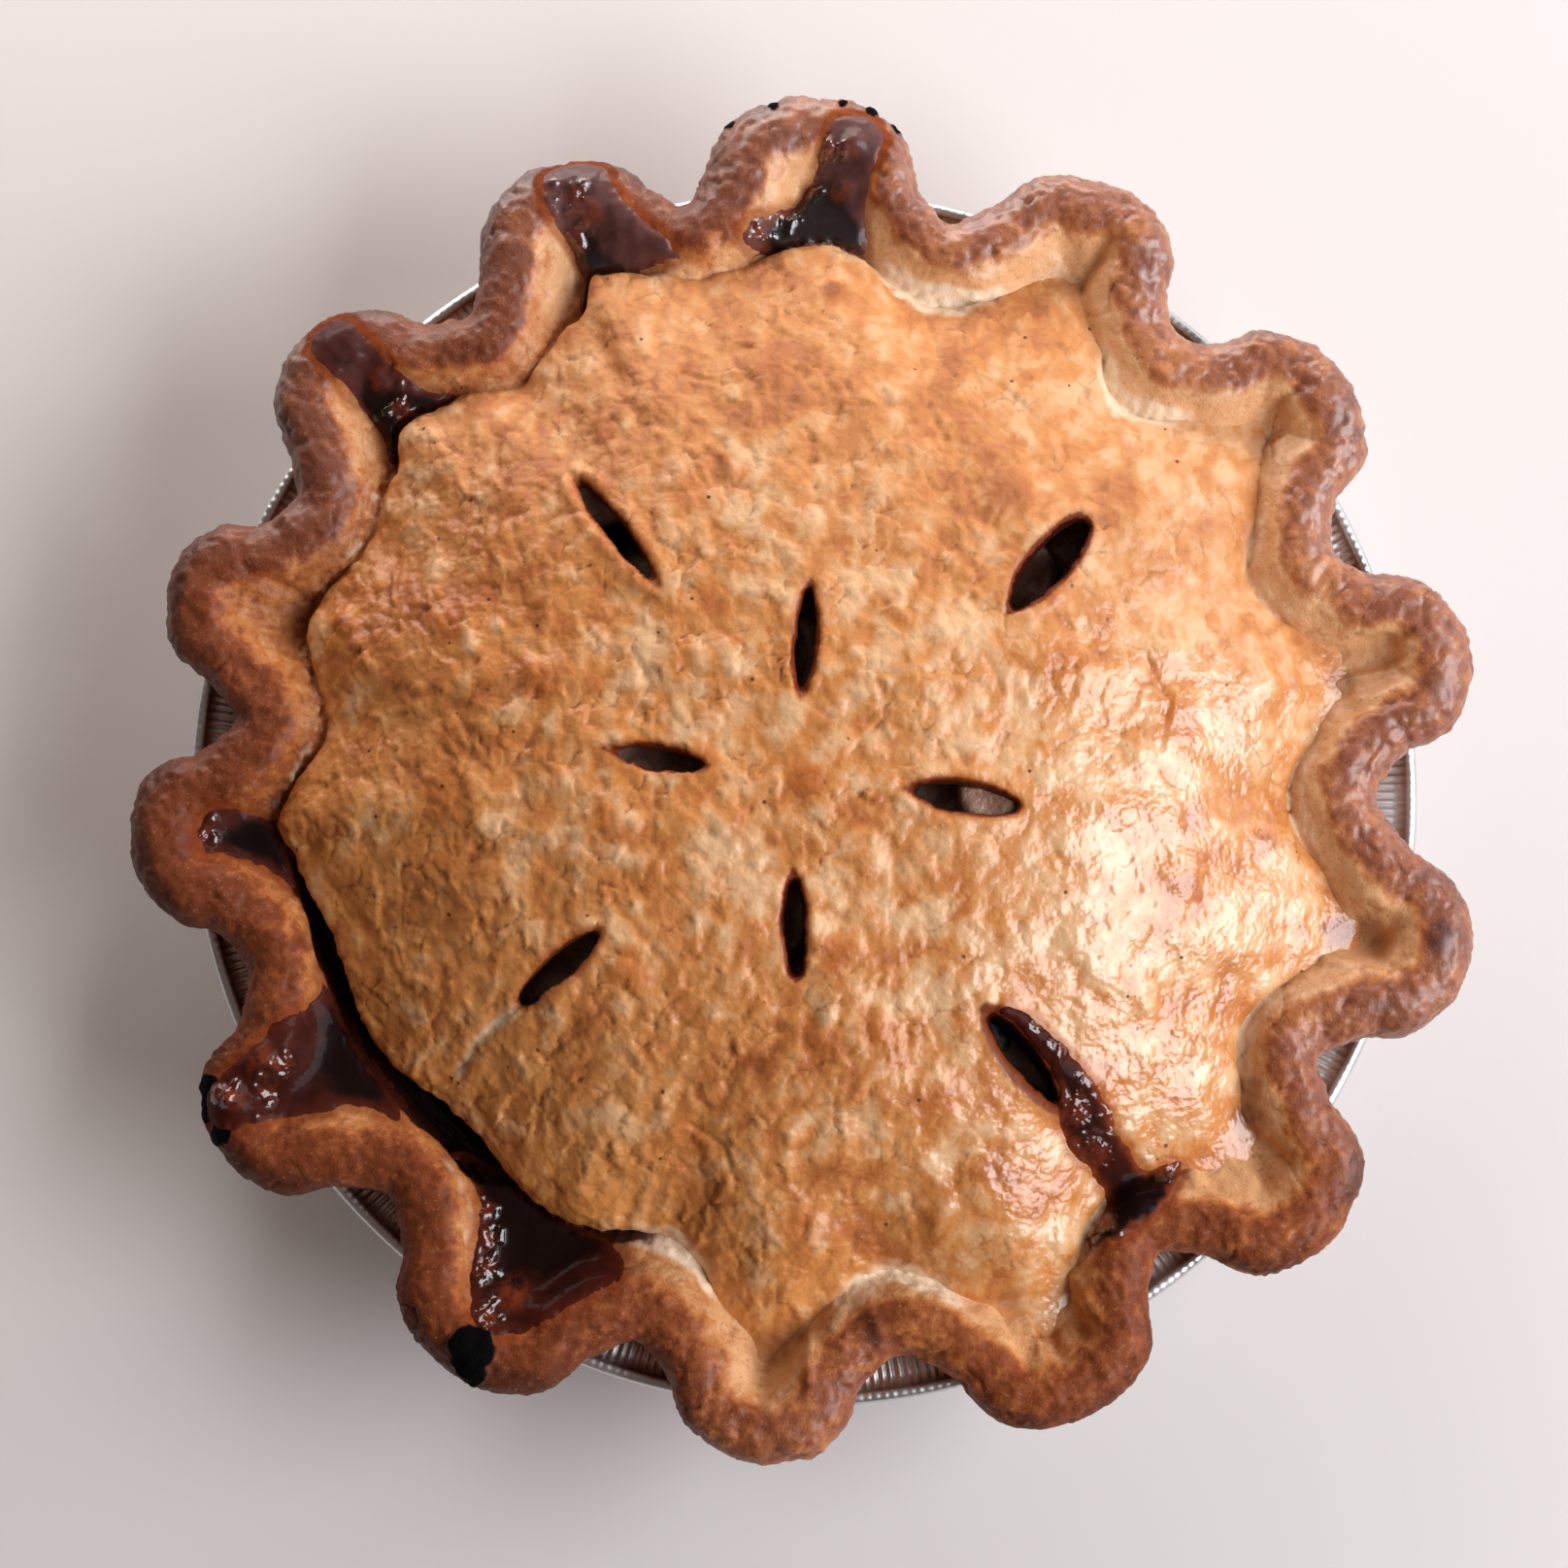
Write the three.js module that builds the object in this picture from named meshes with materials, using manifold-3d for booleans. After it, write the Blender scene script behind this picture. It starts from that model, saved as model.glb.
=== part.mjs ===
// A deep-dish apple pie baked in its own foil tin, in millimetres, +Z up.
// The origin is the centre of the tin's flat underside. +X is to the right and +Y away from the
// reader, who looks down on the pie.
import * as THREE from "three";
import { ParametricGeometry } from "three/addons/geometries/ParametricGeometry.js";
import { mergeVertices } from "three/addons/utils/BufferGeometryUtils.js";
import Module from "manifold-3d";

const wasm = await Module();
wasm.setup();

// Foil tin: a nine-inch pie tin with a sloping wall, a flat flange and a curled edge.
const TIN_OUTER_RADIUS = 111;
const TIN_BASE_RADIUS = 80.5;
const TIN_TOP_RADIUS = 98.6;
const TIN_DEPTH = 28.8;
const TIN_WALL = 0.8;
const TIN_HEEL = 1.8;
const CURL_RADIUS = 1.3;
const TIN_SECTORS = 60;

// Gap kept between pieces that touch on the real pie.
const GAP = 0.3;

// Pastry case: bottom crust, the sheet that lies on the flange, and the crimped rope on its edge.
const CASE_WALL = 4;
const CASE_INNER_RADIUS = TIN_TOP_RADIUS - 2 - CASE_WALL;
const CASE_INNER_FLOOR = 3 + CASE_WALL;
const SHEET_BOTTOM = 30.9;
const SHEET_TOP = 34.4;
const SCOOP_RISE = 2.6;
const SCOOP_START = 6;
const SCOOP_END = 16;
const SHEET_UNDER_LID = 5;
const SHEET_SECTORS = 84;
const ROPE_HALF_WIDTH = 6.5;
const LOBE_ROPE_HEIGHT = 36.2;
const WAIST_ROPE_HEIGHT = 36.6;
const WAIST_REACH = 97;
const LOBE_REACH = 112;
const ROPE_SKIRT = 1.15;
const ROPE_LUMP = 0.05;
const LUMPS_ROUND = [37, 23];
const ROPE_STEPS = 140;

// A lobe's flanks: degrees in from its outline, how far down from the tip, and its shoulders.
const FLANK_INSET = 3.4;
const FLANK_FALL = 0.55;
const SHOULDER_SHARE = 0.3;
const SHOULDER_FALL = 2.8;

// Section of the rope: [towards the outside, upwards]. Its inner side runs out in a skirt.
const ROPE_SECTION = [
  [6.5, -0.6],
  [4.6, 4],
  [0.4, 5.9],
  [-4, 4],
  [-6.5, -0.6],
  [-5.6, -4.6],
  [0, -5.8],
  [5.2, -4.2],
];

// Lid: a domed crust with a scalloped edge that lies on the sheet.
const LID_THICKNESS = 4;
const LID_EDGE_BOTTOM = SHEET_TOP + GAP;
const LID_EDGE_TOP = 38.2;
const LID_CROWN = 64;
const LID_MEAN_RADIUS = 94;
const DOME_POWER = 2.7;
const LUMP_HEIGHT = 0.9;
const BROAD_SWELL = [13, 11];
const SMALL_SWELL = [7.1, 6.3];
const SEAT_EASE = 8;
const LID_SECTORS = 84;
const LID_UNDER_RINGS = [0, 0.45, 0.8];
const LID_TOP_RINGS = [0.985, 0.94, 0.87, 0.78, 0.67, 0.55, 0.42, 0.28, 0.14, 0];

// Hand-crimped lobes, by angle from +X: the lobe's tip, where its outline starts and ends, how far
// it reaches from the axis, and where the lid's edge lies in its mouth.
const LOBES = [
  { at: 11, from: 2.5, to: 21, reach: 122, lid: 95.4 },
  { at: 37, from: 27.5, to: 47.5, reach: 123, lid: 100.7 },
  { at: 61, from: 53, to: 72.5, reach: 123.5, lid: 99.6 },
  { at: 88.5, from: 78, to: 99.5, reach: 126, lid: 98.2 },
  { at: 112.5, from: 103.5, to: 122.5, reach: 122.8, lid: 100.6 },
  { at: 138.5, from: 129, to: 148, reach: 122, lid: 97.9 },
  { at: 162, from: 154, to: 171, reach: 120.3, lid: 94.3 },
  { at: 185, from: 176.5, to: 195, reach: 121.3, lid: 94.8 },
  { at: 211.5, from: 203, to: 221.5, reach: 123.6, lid: 91.1 },
  { at: 240, from: 229, to: 250, reach: 122, lid: 89.2 },
  { at: 267, from: 256.5, to: 275.5, reach: 121, lid: 96.9 },
  { at: 294, from: 283.5, to: 304.5, reach: 123.5, lid: 101.5 },
  { at: 319, from: 309.5, to: 329, reach: 124, lid: 98.1 },
  { at: 344, from: 334.5, to: 354, reach: 123, lid: 96.2 },
];

// The waist after each lobe: its angle, the rope's outer and inner edge there, and the lid's edge.
const WAISTS = [
  { at: 24, outer: 106.5, inner: 88.8, lid: 88 },
  { at: 50, outer: 108.6, inner: 90.2, lid: 89.2 },
  { at: 75, outer: 106.8, inner: 91.5, lid: 90.3 },
  { at: 101, outer: 108.5, inner: 94.6, lid: 94 },
  { at: 125, outer: 106.5, inner: 90, lid: 89.4 },
  { at: 151, outer: 106.3, inner: 91, lid: 90.4 },
  { at: 173.5, outer: 104, inner: 87.4, lid: 86.8 },
  { at: 199, outer: 105.5, inner: 92, lid: 88 },
  { at: 225, outer: 103.5, inner: 91, lid: 84.8 },
  { at: 253, outer: 102.8, inner: 90.4, lid: 84.6 },
  { at: 279.5, outer: 104, inner: 89, lid: 88.3 },
  { at: 307, outer: 103.8, inner: 92, lid: 91.4 },
  { at: 331, outer: 104, inner: 90.4, lid: 89.7 },
  { at: 358, outer: 104.2, inner: 87.6, lid: 86.8 },
];

// Where the lid has torn away from the rim, so that the filling shows in the crack.
const TEAR = { from: 189, to: 236, ease: 5, inner: 91, sink: 6 };

// Steam slits, from the middle of the lid: the two ends and the width. Below each one the filling
// has sunk, over a pocket a little larger than the slit.
const SLITS = [
  { from: [-40.5, 52], to: [-25.5, 31.5], width: 5.4 },
  { from: [1, 32.5], to: [-0.7, 11.5], width: 5 },
  { from: [50, 45], to: [35.5, 27], width: 7 },
  { from: [-35, 2.8], to: [-16.5, -0.5], width: 4.8 },
  { from: [17, -4.3], to: [37.5, -7.4], width: 6 },
  { from: [-50.5, -41.5], to: [-35, -28.5], width: 5.8 },
  { from: [-2, -18.5], to: [-1.5, -37.5], width: 4.8 },
  { from: [32, -42], to: [45.5, -58.5], width: 6.4 },
];
const SLIT_FULLNESS = 0.7;
const SLIT_TOP = 80;
const POCKET_DEPTH = 6;
const POCKET_SPREAD = 1.15;
const FILLING_DROP = 0.9;
const BRIM_FALL = 0.6;

// Syrup that boiled over: pools in the lobes' scoops, and a run down the lid from the last slit.
const POOLS = [
  { at: 87, middle: 106.5, long: 11, wide: 6.5, level: 39 },
  { at: 111.5, middle: 105, long: 9, wide: 5.5, level: 38.6 },
  { at: 137.5, middle: 104.5, long: 10, wide: 5.5, level: 38.8 },
  { at: 186.5, middle: 103, long: 8, wide: 5, level: 38.4 },
  { at: 211, middle: 105.5, long: 12, wide: 7, level: 38.8 },
  { at: 239.5, middle: 104.5, long: 12.5, wide: 7.5, level: 38.8 },
];
const WAIST_POOL = { at: 307.5, middle: 95.2, long: 3.4, wide: 10, level: 41.6 };
const POOL_BOTTOM = 33;
const RUN = { from: [44, -56], to: [56.5, -73.2], halfWidth: 3.4, blunt: 0.35, relief: 1.3, root: 1.6 };

const rad = THREE.MathUtils.degToRad;
const ease = (x, low, high) => THREE.MathUtils.smoothstep(x, low, high);

// A value at an angle in degrees, eased between the knots [angle, value] round the pie.
function roundThePie(knots, angle) {
  const turned = THREE.MathUtils.euclideanModulo(angle - knots[0][0], 360);
  const next = knots.findIndex(([at]) => at - knots[0][0] > turned);
  const before = knots[(next < 0 ? knots.length : next) - 1];
  const after = next < 0 ? [knots[0][0] + 360, knots[0][1]] : knots[next];
  const share = ease(turned + knots[0][0], before[0], after[0]);
  return THREE.MathUtils.lerp(before[1], after[1], share);
}

const lidKnots = LOBES.flatMap((lobe, i) => [
  [lobe.at, lobe.lid],
  [WAISTS[i].at, WAISTS[i].lid],
]);
const lidEdge = (angle) => roundThePie(lidKnots, angle);

// How far an angle lies inside the torn stretch, from 0 to 1.
function torn(angle) {
  const turned = THREE.MathUtils.euclideanModulo(angle, 360);
  const begun = ease(turned, TEAR.from - TEAR.ease, TEAR.from + TEAR.ease);
  return begun * (1 - ease(turned, TEAR.to - TEAR.ease, TEAR.to + TEAR.ease));
}

// The inner edge of the sheet, which runs a little way under the lid.
function sheetInner(angle) {
  const underLid = Math.min(lidEdge(angle) - SHEET_UNDER_LID, CASE_INNER_RADIUS - 0.5);
  return THREE.MathUtils.lerp(underLid, TEAR.inner, torn(angle));
}

// Radius of the case's inner wall at a height.
function caseWall(height) {
  const share = (height - CASE_INNER_FLOOR) / (SHEET_BOTTOM - CASE_INNER_FLOOR);
  return THREE.MathUtils.lerp(TIN_BASE_RADIUS - CASE_WALL, CASE_INNER_RADIUS, share);
}

// Low swells of the rolled dough, from -1 to 1.
function swell(x, y) {
  const broad = Math.sin(x / BROAD_SWELL[0] + 0.7) * Math.cos(y / BROAD_SWELL[1] - 1.1);
  const small = Math.sin((x + y) / SMALL_SWELL[0] + 2.3) * Math.sin((x - 0.6 * y) / SMALL_SWELL[1]);
  return 0.6 * broad + 0.4 * small;
}

// Height of the lid's upper face.
function lidTop(x, y) {
  const angle = THREE.MathUtils.radToDeg(Math.atan2(y, x));
  const edge = lidEdge(angle);
  const reach = Math.hypot(x, y);
  const scalloped = THREE.MathUtils.lerp(LID_MEAN_RADIUS, edge, ease(reach / edge, 0.5, 1));
  const out = Math.min(reach / scalloped, 1);
  const dome = THREE.MathUtils.lerp(LID_EDGE_TOP, LID_CROWN, 1 - out ** DOME_POWER);
  return dome + LUMP_HEIGHT * swell(x, y) * ease(1 - out, 0, 0.15);
}

// Height of the lid's lower face: flat where it lies on the sheet.
function lidUnder(x, y) {
  const reach = Math.hypot(x, y);
  const angle = THREE.MathUtils.radToDeg(Math.atan2(y, x));
  const seat = lidEdge(angle) - SHEET_UNDER_LID;
  const above = Math.max(lidTop(x, y) - LID_THICKNESS, LID_EDGE_BOTTOM);
  return THREE.MathUtils.lerp(above, LID_EDGE_BOTTOM, ease(reach, seat - SEAT_EASE, seat));
}

// A closed geometry as a solid that can be joined and cut.
function solidOf(geometry) {
  const bare = geometry.clone();
  bare.deleteAttribute("normal");
  bare.deleteAttribute("uv");
  const merged = mergeVertices(bare, 1e-4);
  const corners = merged.index.array;
  const kept = [];
  for (let i = 0; i < corners.length; i += 3) {
    const [a, b, c] = corners.slice(i, i + 3);
    if (a !== b && b !== c && c !== a) {
      kept.push(a, b, c);
    }
  }
  const vertProperties = merged.getAttribute("position").array;
  const triVerts = new Uint32Array(kept);
  return new wasm.Manifold(new wasm.Mesh({ numProp: 3, vertProperties, triVerts }));
}

// A solid turned about the axis, with a profile of [radius, height] that may change with the angle.
function turnedSolid(profile, count, sectors) {
  const surface = (u, v, target) => {
    const angle = 360 * u;
    const [radius, height] = profile(angle)[Math.round(v * (count - 1))];
    target.set(radius * Math.cos(rad(angle)), radius * Math.sin(rad(angle)), height);
  };
  return solidOf(new ParametricGeometry(surface, sectors, count - 1));
}

function foilTin() {
  const curlMiddle = [TIN_OUTER_RADIUS - CURL_RADIUS, TIN_DEPTH - 0.1];
  const curl = [-150, -90, -30, 30, 90, 150].map((turn) => [
    curlMiddle[0] + CURL_RADIUS * Math.cos(rad(turn)),
    curlMiddle[1] + CURL_RADIUS * Math.sin(rad(turn)),
  ]);
  const outside = [
    [0, 0],
    [TIN_BASE_RADIUS, 0],
    [TIN_BASE_RADIUS + TIN_HEEL, 1],
    [TIN_TOP_RADIUS, TIN_DEPTH - TIN_WALL],
    [TIN_TOP_RADIUS + 1, TIN_DEPTH],
  ];
  const inside = [
    [TIN_TOP_RADIUS + 0.6, TIN_DEPTH + TIN_WALL],
    [TIN_TOP_RADIUS - 0.8, TIN_DEPTH - 0.2],
    [TIN_BASE_RADIUS + TIN_HEEL - 0.7, 1 + TIN_WALL],
    [TIN_BASE_RADIUS - 0.3, TIN_WALL],
    [0, TIN_WALL],
  ];
  const profile = [...outside, ...curl, ...inside];
  return turnedSolid(() => profile, profile.length, TIN_SECTORS);
}

// Radius of the rope's middle by angle, used for the outer edge of the sheet under it.
function ropeMiddle(angle) {
  const knots = LOBES.flatMap((lobe, i) => [
    [lobe.from + FLANK_INSET + 1.6, lobe.reach - ROPE_HALF_WIDTH - SHOULDER_FALL],
    [lobe.at, lobe.reach - ROPE_HALF_WIDTH],
    [lobe.to - FLANK_INSET - 1.6, lobe.reach - ROPE_HALF_WIDTH - SHOULDER_FALL],
    [WAISTS[i].at, (WAISTS[i].outer + WAISTS[i].inner) / 2],
  ]);
  return roundThePie(knots, angle);
}

// The bottom crust that lines the tin and, in one piece with it, the sheet of dough that lies on
// the flange, whose scoops rise towards the lobes' tips.
function bottomCrust(clear = 0) {
  const floor = TIN_WALL + GAP;
  const profile = (angle) => {
    const inner = sheetInner(angle) - clear;
    const outer = ropeMiddle(angle);
    const mouth = lidEdge(angle);
    const rise = SCOOP_RISE * ease(outer - mouth, SCOOP_START, SCOOP_END);
    return [
      [0, floor],
      [TIN_BASE_RADIUS - 1, floor],
      [TIN_BASE_RADIUS + 0.6, floor + 1],
      [TIN_TOP_RADIUS - 1.3, TIN_DEPTH],
      [TIN_TOP_RADIUS - 0.4, SHEET_BOTTOM],
      [outer, SHEET_BOTTOM],
      [outer, SHEET_TOP + rise + clear],
      [Math.max(mouth, inner) + 0.5, SHEET_TOP + clear],
      [inner, SHEET_TOP + clear],
      [inner, SHEET_BOTTOM - clear],
      [CASE_INNER_RADIUS - clear, SHEET_BOTTOM - clear],
      [TIN_BASE_RADIUS - CASE_WALL, CASE_INNER_FLOOR],
      [0, floor + CASE_WALL],
    ];
  };
  return turnedSolid(profile, 13, SHEET_SECTORS);
}

// The rope's middle line: in at each waist, up one flank, round the tip and down the other.
function ropeCurve() {
  const points = LOBES.flatMap((lobe, i) => {
    const before = WAISTS[(i + WAISTS.length - 1) % WAISTS.length];
    const tip = lobe.reach - ROPE_HALF_WIDTH;
    const waist = (before.outer + before.inner) / 2;
    const flank = tip - FLANK_FALL * (tip - waist);
    const start = lobe.from + FLANK_INSET;
    const end = lobe.to - FLANK_INSET;
    return [
      [before.at, waist],
      [start, flank],
      [THREE.MathUtils.lerp(start, lobe.at, SHOULDER_SHARE), tip - SHOULDER_FALL],
      [lobe.at, tip],
      [THREE.MathUtils.lerp(end, lobe.at, SHOULDER_SHARE), tip - SHOULDER_FALL],
      [end, flank],
    ];
  });
  const placed = points.map(([at, reach]) => {
    return new THREE.Vector3(reach * Math.cos(rad(at)), reach * Math.sin(rad(at)), 0);
  });
  return new THREE.CatmullRomCurve3(placed, true, "centripetal");
}

// The crimped rope: an uneven roll of dough swept along the meander, wider at the waists.
function doughRope(clear = 0) {
  const curve = ropeCurve();
  curve.arcLengthDivisions = 4000;
  const surface = (u, v, target) => {
    const middle = curve.getPointAt(u % 1);
    const along = curve.getTangentAt(u % 1);
    const out = ease(middle.length(), WAIST_REACH, LOBE_REACH);
    const [across, up] = ROPE_SECTION[Math.round(v * ROPE_SECTION.length) % ROPE_SECTION.length];
    const round = 2 * Math.PI * u;
    const lump = ROPE_LUMP * Math.sin(round * LUMPS_ROUND[0]) * Math.sin(round * LUMPS_ROUND[1] + 1);
    const spread = across < 0 ? ROPE_SKIRT : THREE.MathUtils.lerp(ROPE_SKIRT, 1, out);
    const side = across * (1 + lump) * spread + clear * Math.sign(across);
    const height = THREE.MathUtils.lerp(WAIST_ROPE_HEIGHT, LOBE_ROPE_HEIGHT, out);
    target.set(middle.x + along.y * side, middle.y - along.x * side, height + up + clear * Math.sign(up));
  };
  return solidOf(new ParametricGeometry(surface, ROPE_STEPS, ROPE_SECTION.length));
}

function pastryCase() {
  return outerShell(bottomCrust().add(doughRope()));
}

// The lid before it is slit: the lower face, a rounded edge, and rings of the dome.
function lidBlank(clear = 0) {
  const profile = (angle) => {
    const edge = lidEdge(angle) + clear;
    const at = (share) => [share * edge * Math.cos(rad(angle)), share * edge * Math.sin(rad(angle))];
    return [
      ...LID_UNDER_RINGS.map((share) => [share * edge, lidUnder(...at(share)) - clear]),
      [edge - SHEET_UNDER_LID, LID_EDGE_BOTTOM - clear],
      [edge - 0.3, LID_EDGE_BOTTOM - clear],
      [edge, LID_EDGE_TOP - 0.7],
      ...LID_TOP_RINGS.map((share) => [share * edge, lidTop(...at(share)) + clear]),
    ];
  };
  return turnedSolid(profile, LID_UNDER_RINGS.length + 3 + LID_TOP_RINGS.length, LID_SECTORS);
}

// An upright plug in the eye shape of a slit, from a height upwards.
function slitPlug({ from, to, width }, spread, bottom) {
  const start = new THREE.Vector2(...from);
  const end = new THREE.Vector2(...to);
  const middle = start.clone().lerp(end, 0.5);
  const half = (start.distanceTo(end) / 2) * spread;
  const belly = (2 / 3) * width * spread;
  const full = SLIT_FULLNESS * half;
  const eye = new THREE.Shape();
  eye.moveTo(-half, 0);
  eye.bezierCurveTo(-full, -belly, full, -belly, half, 0);
  eye.bezierCurveTo(full, belly, -full, belly, -half, 0);
  const options = { depth: SLIT_TOP - bottom, bevelEnabled: false, curveSegments: 4 };
  const plug = new THREE.ExtrudeGeometry(eye, options);
  plug.rotateZ(end.clone().sub(start).angle());
  plug.translate(middle.x, middle.y, bottom);
  return solidOf(plug);
}

// The run of syrup, swollen over the lid and rooted in it, narrow at both ends.
function syrupRun(clear = 0) {
  const start = new THREE.Vector2(...RUN.from);
  const end = new THREE.Vector2(...RUN.to);
  const along = end.clone().sub(start).normalize();
  const surface = (u, v, target) => {
    const place = start.clone().lerp(end, u);
    const narrowed = Math.sin(Math.PI * THREE.MathUtils.clamp(u, 0, 1)) ** RUN.blunt;
    const halfWidth = (RUN.halfWidth + clear) * narrowed;
    const turn = 2 * Math.PI * v;
    const side = halfWidth * Math.cos(turn);
    const x = place.x + along.y * side;
    const y = place.y - along.x * side;
    const height = Math.sin(turn) > 0 ? RUN.relief + clear : RUN.root;
    target.set(x, y, lidTop(x, y) + height * Math.sin(turn));
  };
  return solidOf(new ParametricGeometry(surface, 8, 8));
}

function pastryLid() {
  const whole = lidBlank().add(syrupRun()).subtract(doughRope(GAP));
  return SLITS.reduce((lid, slit) => lid.subtract(slitPlug(slit, 1, 0)), outerShell(whole));
}

// The filling up to the lid, with a hollow below each slit and a sunken edge along the tear.
function appleFilling() {
  const rings = LID_UNDER_RINGS.toReversed();
  const profile = (angle) => {
    const mouth = lidEdge(angle);
    const edge = sheetInner(angle) - GAP;
    const brim = LID_EDGE_BOTTOM - FILLING_DROP - BRIM_FALL - TEAR.sink * torn(angle);
    const shoulder = Math.min(SHEET_BOTTOM - GAP, brim - 1.5);
    const neck = Math.min(edge, caseWall(shoulder) - 3 * GAP);
    const seat = Math.min(mouth - SHEET_UNDER_LID, CASE_INNER_RADIUS - 2) - GAP;
    const at = (share) => [share * mouth * Math.cos(rad(angle)), share * mouth * Math.sin(rad(angle))];
    return [
      [0, TIN_WALL + 3 * GAP + CASE_WALL],
      [TIN_BASE_RADIUS - CASE_WALL - 2 * GAP, CASE_INNER_FLOOR + GAP],
      [caseWall(shoulder) - 2 * GAP, shoulder],
      [neck, shoulder + 0.1],
      [neck, brim],
      [seat, (brim + LID_EDGE_BOTTOM - FILLING_DROP) / 2],
      ...rings.map((share) => [share * mouth, lidUnder(...at(share)) - FILLING_DROP]),
    ];
  };
  const whole = turnedSolid(profile, rings.length + 6, LID_SECTORS);
  return SLITS.reduce((filling, slit) => {
    const [x, y] = slit.from.map((value, i) => (value + slit.to[i]) / 2);
    return filling.subtract(slitPlug(slit, POCKET_SPREAD, lidUnder(x, y) - POCKET_DEPTH));
  }, whole);
}

// The outer surface of a solid's largest piece: loose crumbs go, and a hollow sealed in it is filled.
function outerShell(solid) {
  return solid.decompose().sort((a, b) => b.volume() - a.volume())[0];
}

// What a pool is cut clear of: the case, the lid and the run, each a gap larger.
const swollen = [doughRope(GAP), bottomCrust(GAP), lidBlank(GAP), syrupRun(GAP)];
const aroundPools = swollen.reduce((joined, piece) => joined.add(piece), pastryCase());

// A pool lying in a scoop: a low round cake with a soft edge.
function syrupPool({ at, middle, long, wide, level }) {
  const profile = [
    [0, level],
    [0.6, level - 0.1],
    [1, level - 0.8],
    [0.9, POOL_BOTTOM],
    [0, POOL_BOTTOM],
  ];
  const surface = (u, v, target) => {
    const [share, height] = profile[Math.round(v * (profile.length - 1))];
    const turn = -2 * Math.PI * u;
    target.set(middle + share * long * Math.cos(turn), share * wide * Math.sin(turn), height);
  };
  const cake = new ParametricGeometry(surface, 14, profile.length - 1);
  cake.rotateZ(rad(at));
  return outerShell(solidOf(cake).subtract(aroundPools));
}

const aluminium = new THREE.MeshStandardMaterial({ color: 0xc9cacd, roughness: 0.35, metalness: 1 });
const crust = new THREE.MeshStandardMaterial({ color: 0xc68a4e, roughness: 0.55, metalness: 0 });
const goldenCrust = new THREE.MeshStandardMaterial({ color: 0xd6a062, roughness: 0.45, metalness: 0 });
const apple = new THREE.MeshStandardMaterial({ color: 0x5a3424, roughness: 0.35, metalness: 0 });
const syrup = new THREE.MeshStandardMaterial({ color: 0x4a1c12, roughness: 0.15, metalness: 0 });

const pie = new THREE.Group();

function place(name, solid, material) {
  const { vertProperties, triVerts } = solid.getMesh();
  const geometry = new THREE.BufferGeometry();
  geometry.setAttribute("position", new THREE.BufferAttribute(vertProperties, 3));
  geometry.setIndex(new THREE.BufferAttribute(triVerts, 1));
  geometry.computeVertexNormals();
  const mesh = new THREE.Mesh(geometry, material);
  mesh.name = name;
  pie.add(mesh);
}

place("foil_tin", foilTin(), aluminium);
place("pastry_case", pastryCase(), crust);
place("apple_filling", appleFilling(), apple);
place("pastry_lid", pastryLid(), goldenCrust);
POOLS.forEach((pool, i) => place(`syrup_pool_${i + 1}`, syrupPool(pool), syrup));
place("syrup_pool_waist", syrupPool(WAIST_POOL), syrup);

export default pie;
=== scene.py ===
# %% [markdown]
# # A deep-dish apple pie in its own foil tin
#
# The pie is a nine-inch, double-crust apple pie. Its rim is a thick roll of dough, crimped by hand into
# fourteen lobes that overhang the tin. The lid is domed and slit, and syrup has boiled over in places.
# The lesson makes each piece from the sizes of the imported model, in the order in which a baker meets
# them: the rim, the lid, the filling, the syrup and the tin, and then their finishes and the light.
#
# The model is loaded first and never changed. Lengths are in millimetres until a mesh is made.

# %% Load the frame
import functools
import itertools
from collections import namedtuple

import bpy
import numpy as np
from mathutils import Matrix, Vector
from mathutils.bvhtree import BVHTree
from mathutils.kdtree import KDTree


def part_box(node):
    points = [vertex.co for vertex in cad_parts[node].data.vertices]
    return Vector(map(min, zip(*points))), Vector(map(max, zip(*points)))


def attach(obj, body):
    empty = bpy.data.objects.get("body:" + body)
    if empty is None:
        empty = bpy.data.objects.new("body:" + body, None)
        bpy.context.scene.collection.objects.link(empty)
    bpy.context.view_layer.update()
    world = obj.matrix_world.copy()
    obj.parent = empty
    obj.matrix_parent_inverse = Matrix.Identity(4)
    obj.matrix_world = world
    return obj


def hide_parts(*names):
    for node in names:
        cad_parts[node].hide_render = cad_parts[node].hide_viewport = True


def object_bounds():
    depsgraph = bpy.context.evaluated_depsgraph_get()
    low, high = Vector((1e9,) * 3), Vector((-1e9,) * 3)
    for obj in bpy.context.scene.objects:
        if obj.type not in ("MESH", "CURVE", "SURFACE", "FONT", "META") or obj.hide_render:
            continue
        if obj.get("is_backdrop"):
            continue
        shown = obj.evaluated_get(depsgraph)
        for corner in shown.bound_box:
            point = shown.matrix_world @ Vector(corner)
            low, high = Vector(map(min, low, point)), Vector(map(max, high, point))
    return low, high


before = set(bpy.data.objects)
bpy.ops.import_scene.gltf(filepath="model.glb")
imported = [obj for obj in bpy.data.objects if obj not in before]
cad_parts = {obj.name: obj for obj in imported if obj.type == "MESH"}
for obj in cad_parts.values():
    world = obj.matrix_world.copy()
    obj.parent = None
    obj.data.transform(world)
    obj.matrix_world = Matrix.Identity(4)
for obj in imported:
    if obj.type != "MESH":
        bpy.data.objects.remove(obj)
cad_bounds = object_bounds()
MM = 0.001


def corners(node):
    """Lowest and highest corner of a node of the frame, in millimetres."""
    return [np.array(corner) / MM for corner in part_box(node)]


TIN_RADIUS = corners("foil_tin")[1][0] + 0.2
TIN_TOP = corners("foil_tin")[1][2]
RIM_TOP = corners("pastry_case")[1][2]
LID_BOTTOM, LID_TOP = corners("pastry_lid")[0][2], corners("pastry_lid")[1][2]
print(f"tin radius {TIN_RADIUS:.1f}, tin top {TIN_TOP:.1f}, rim top {RIM_TOP:.1f}, crown {LID_TOP:.1f} mm")

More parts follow.
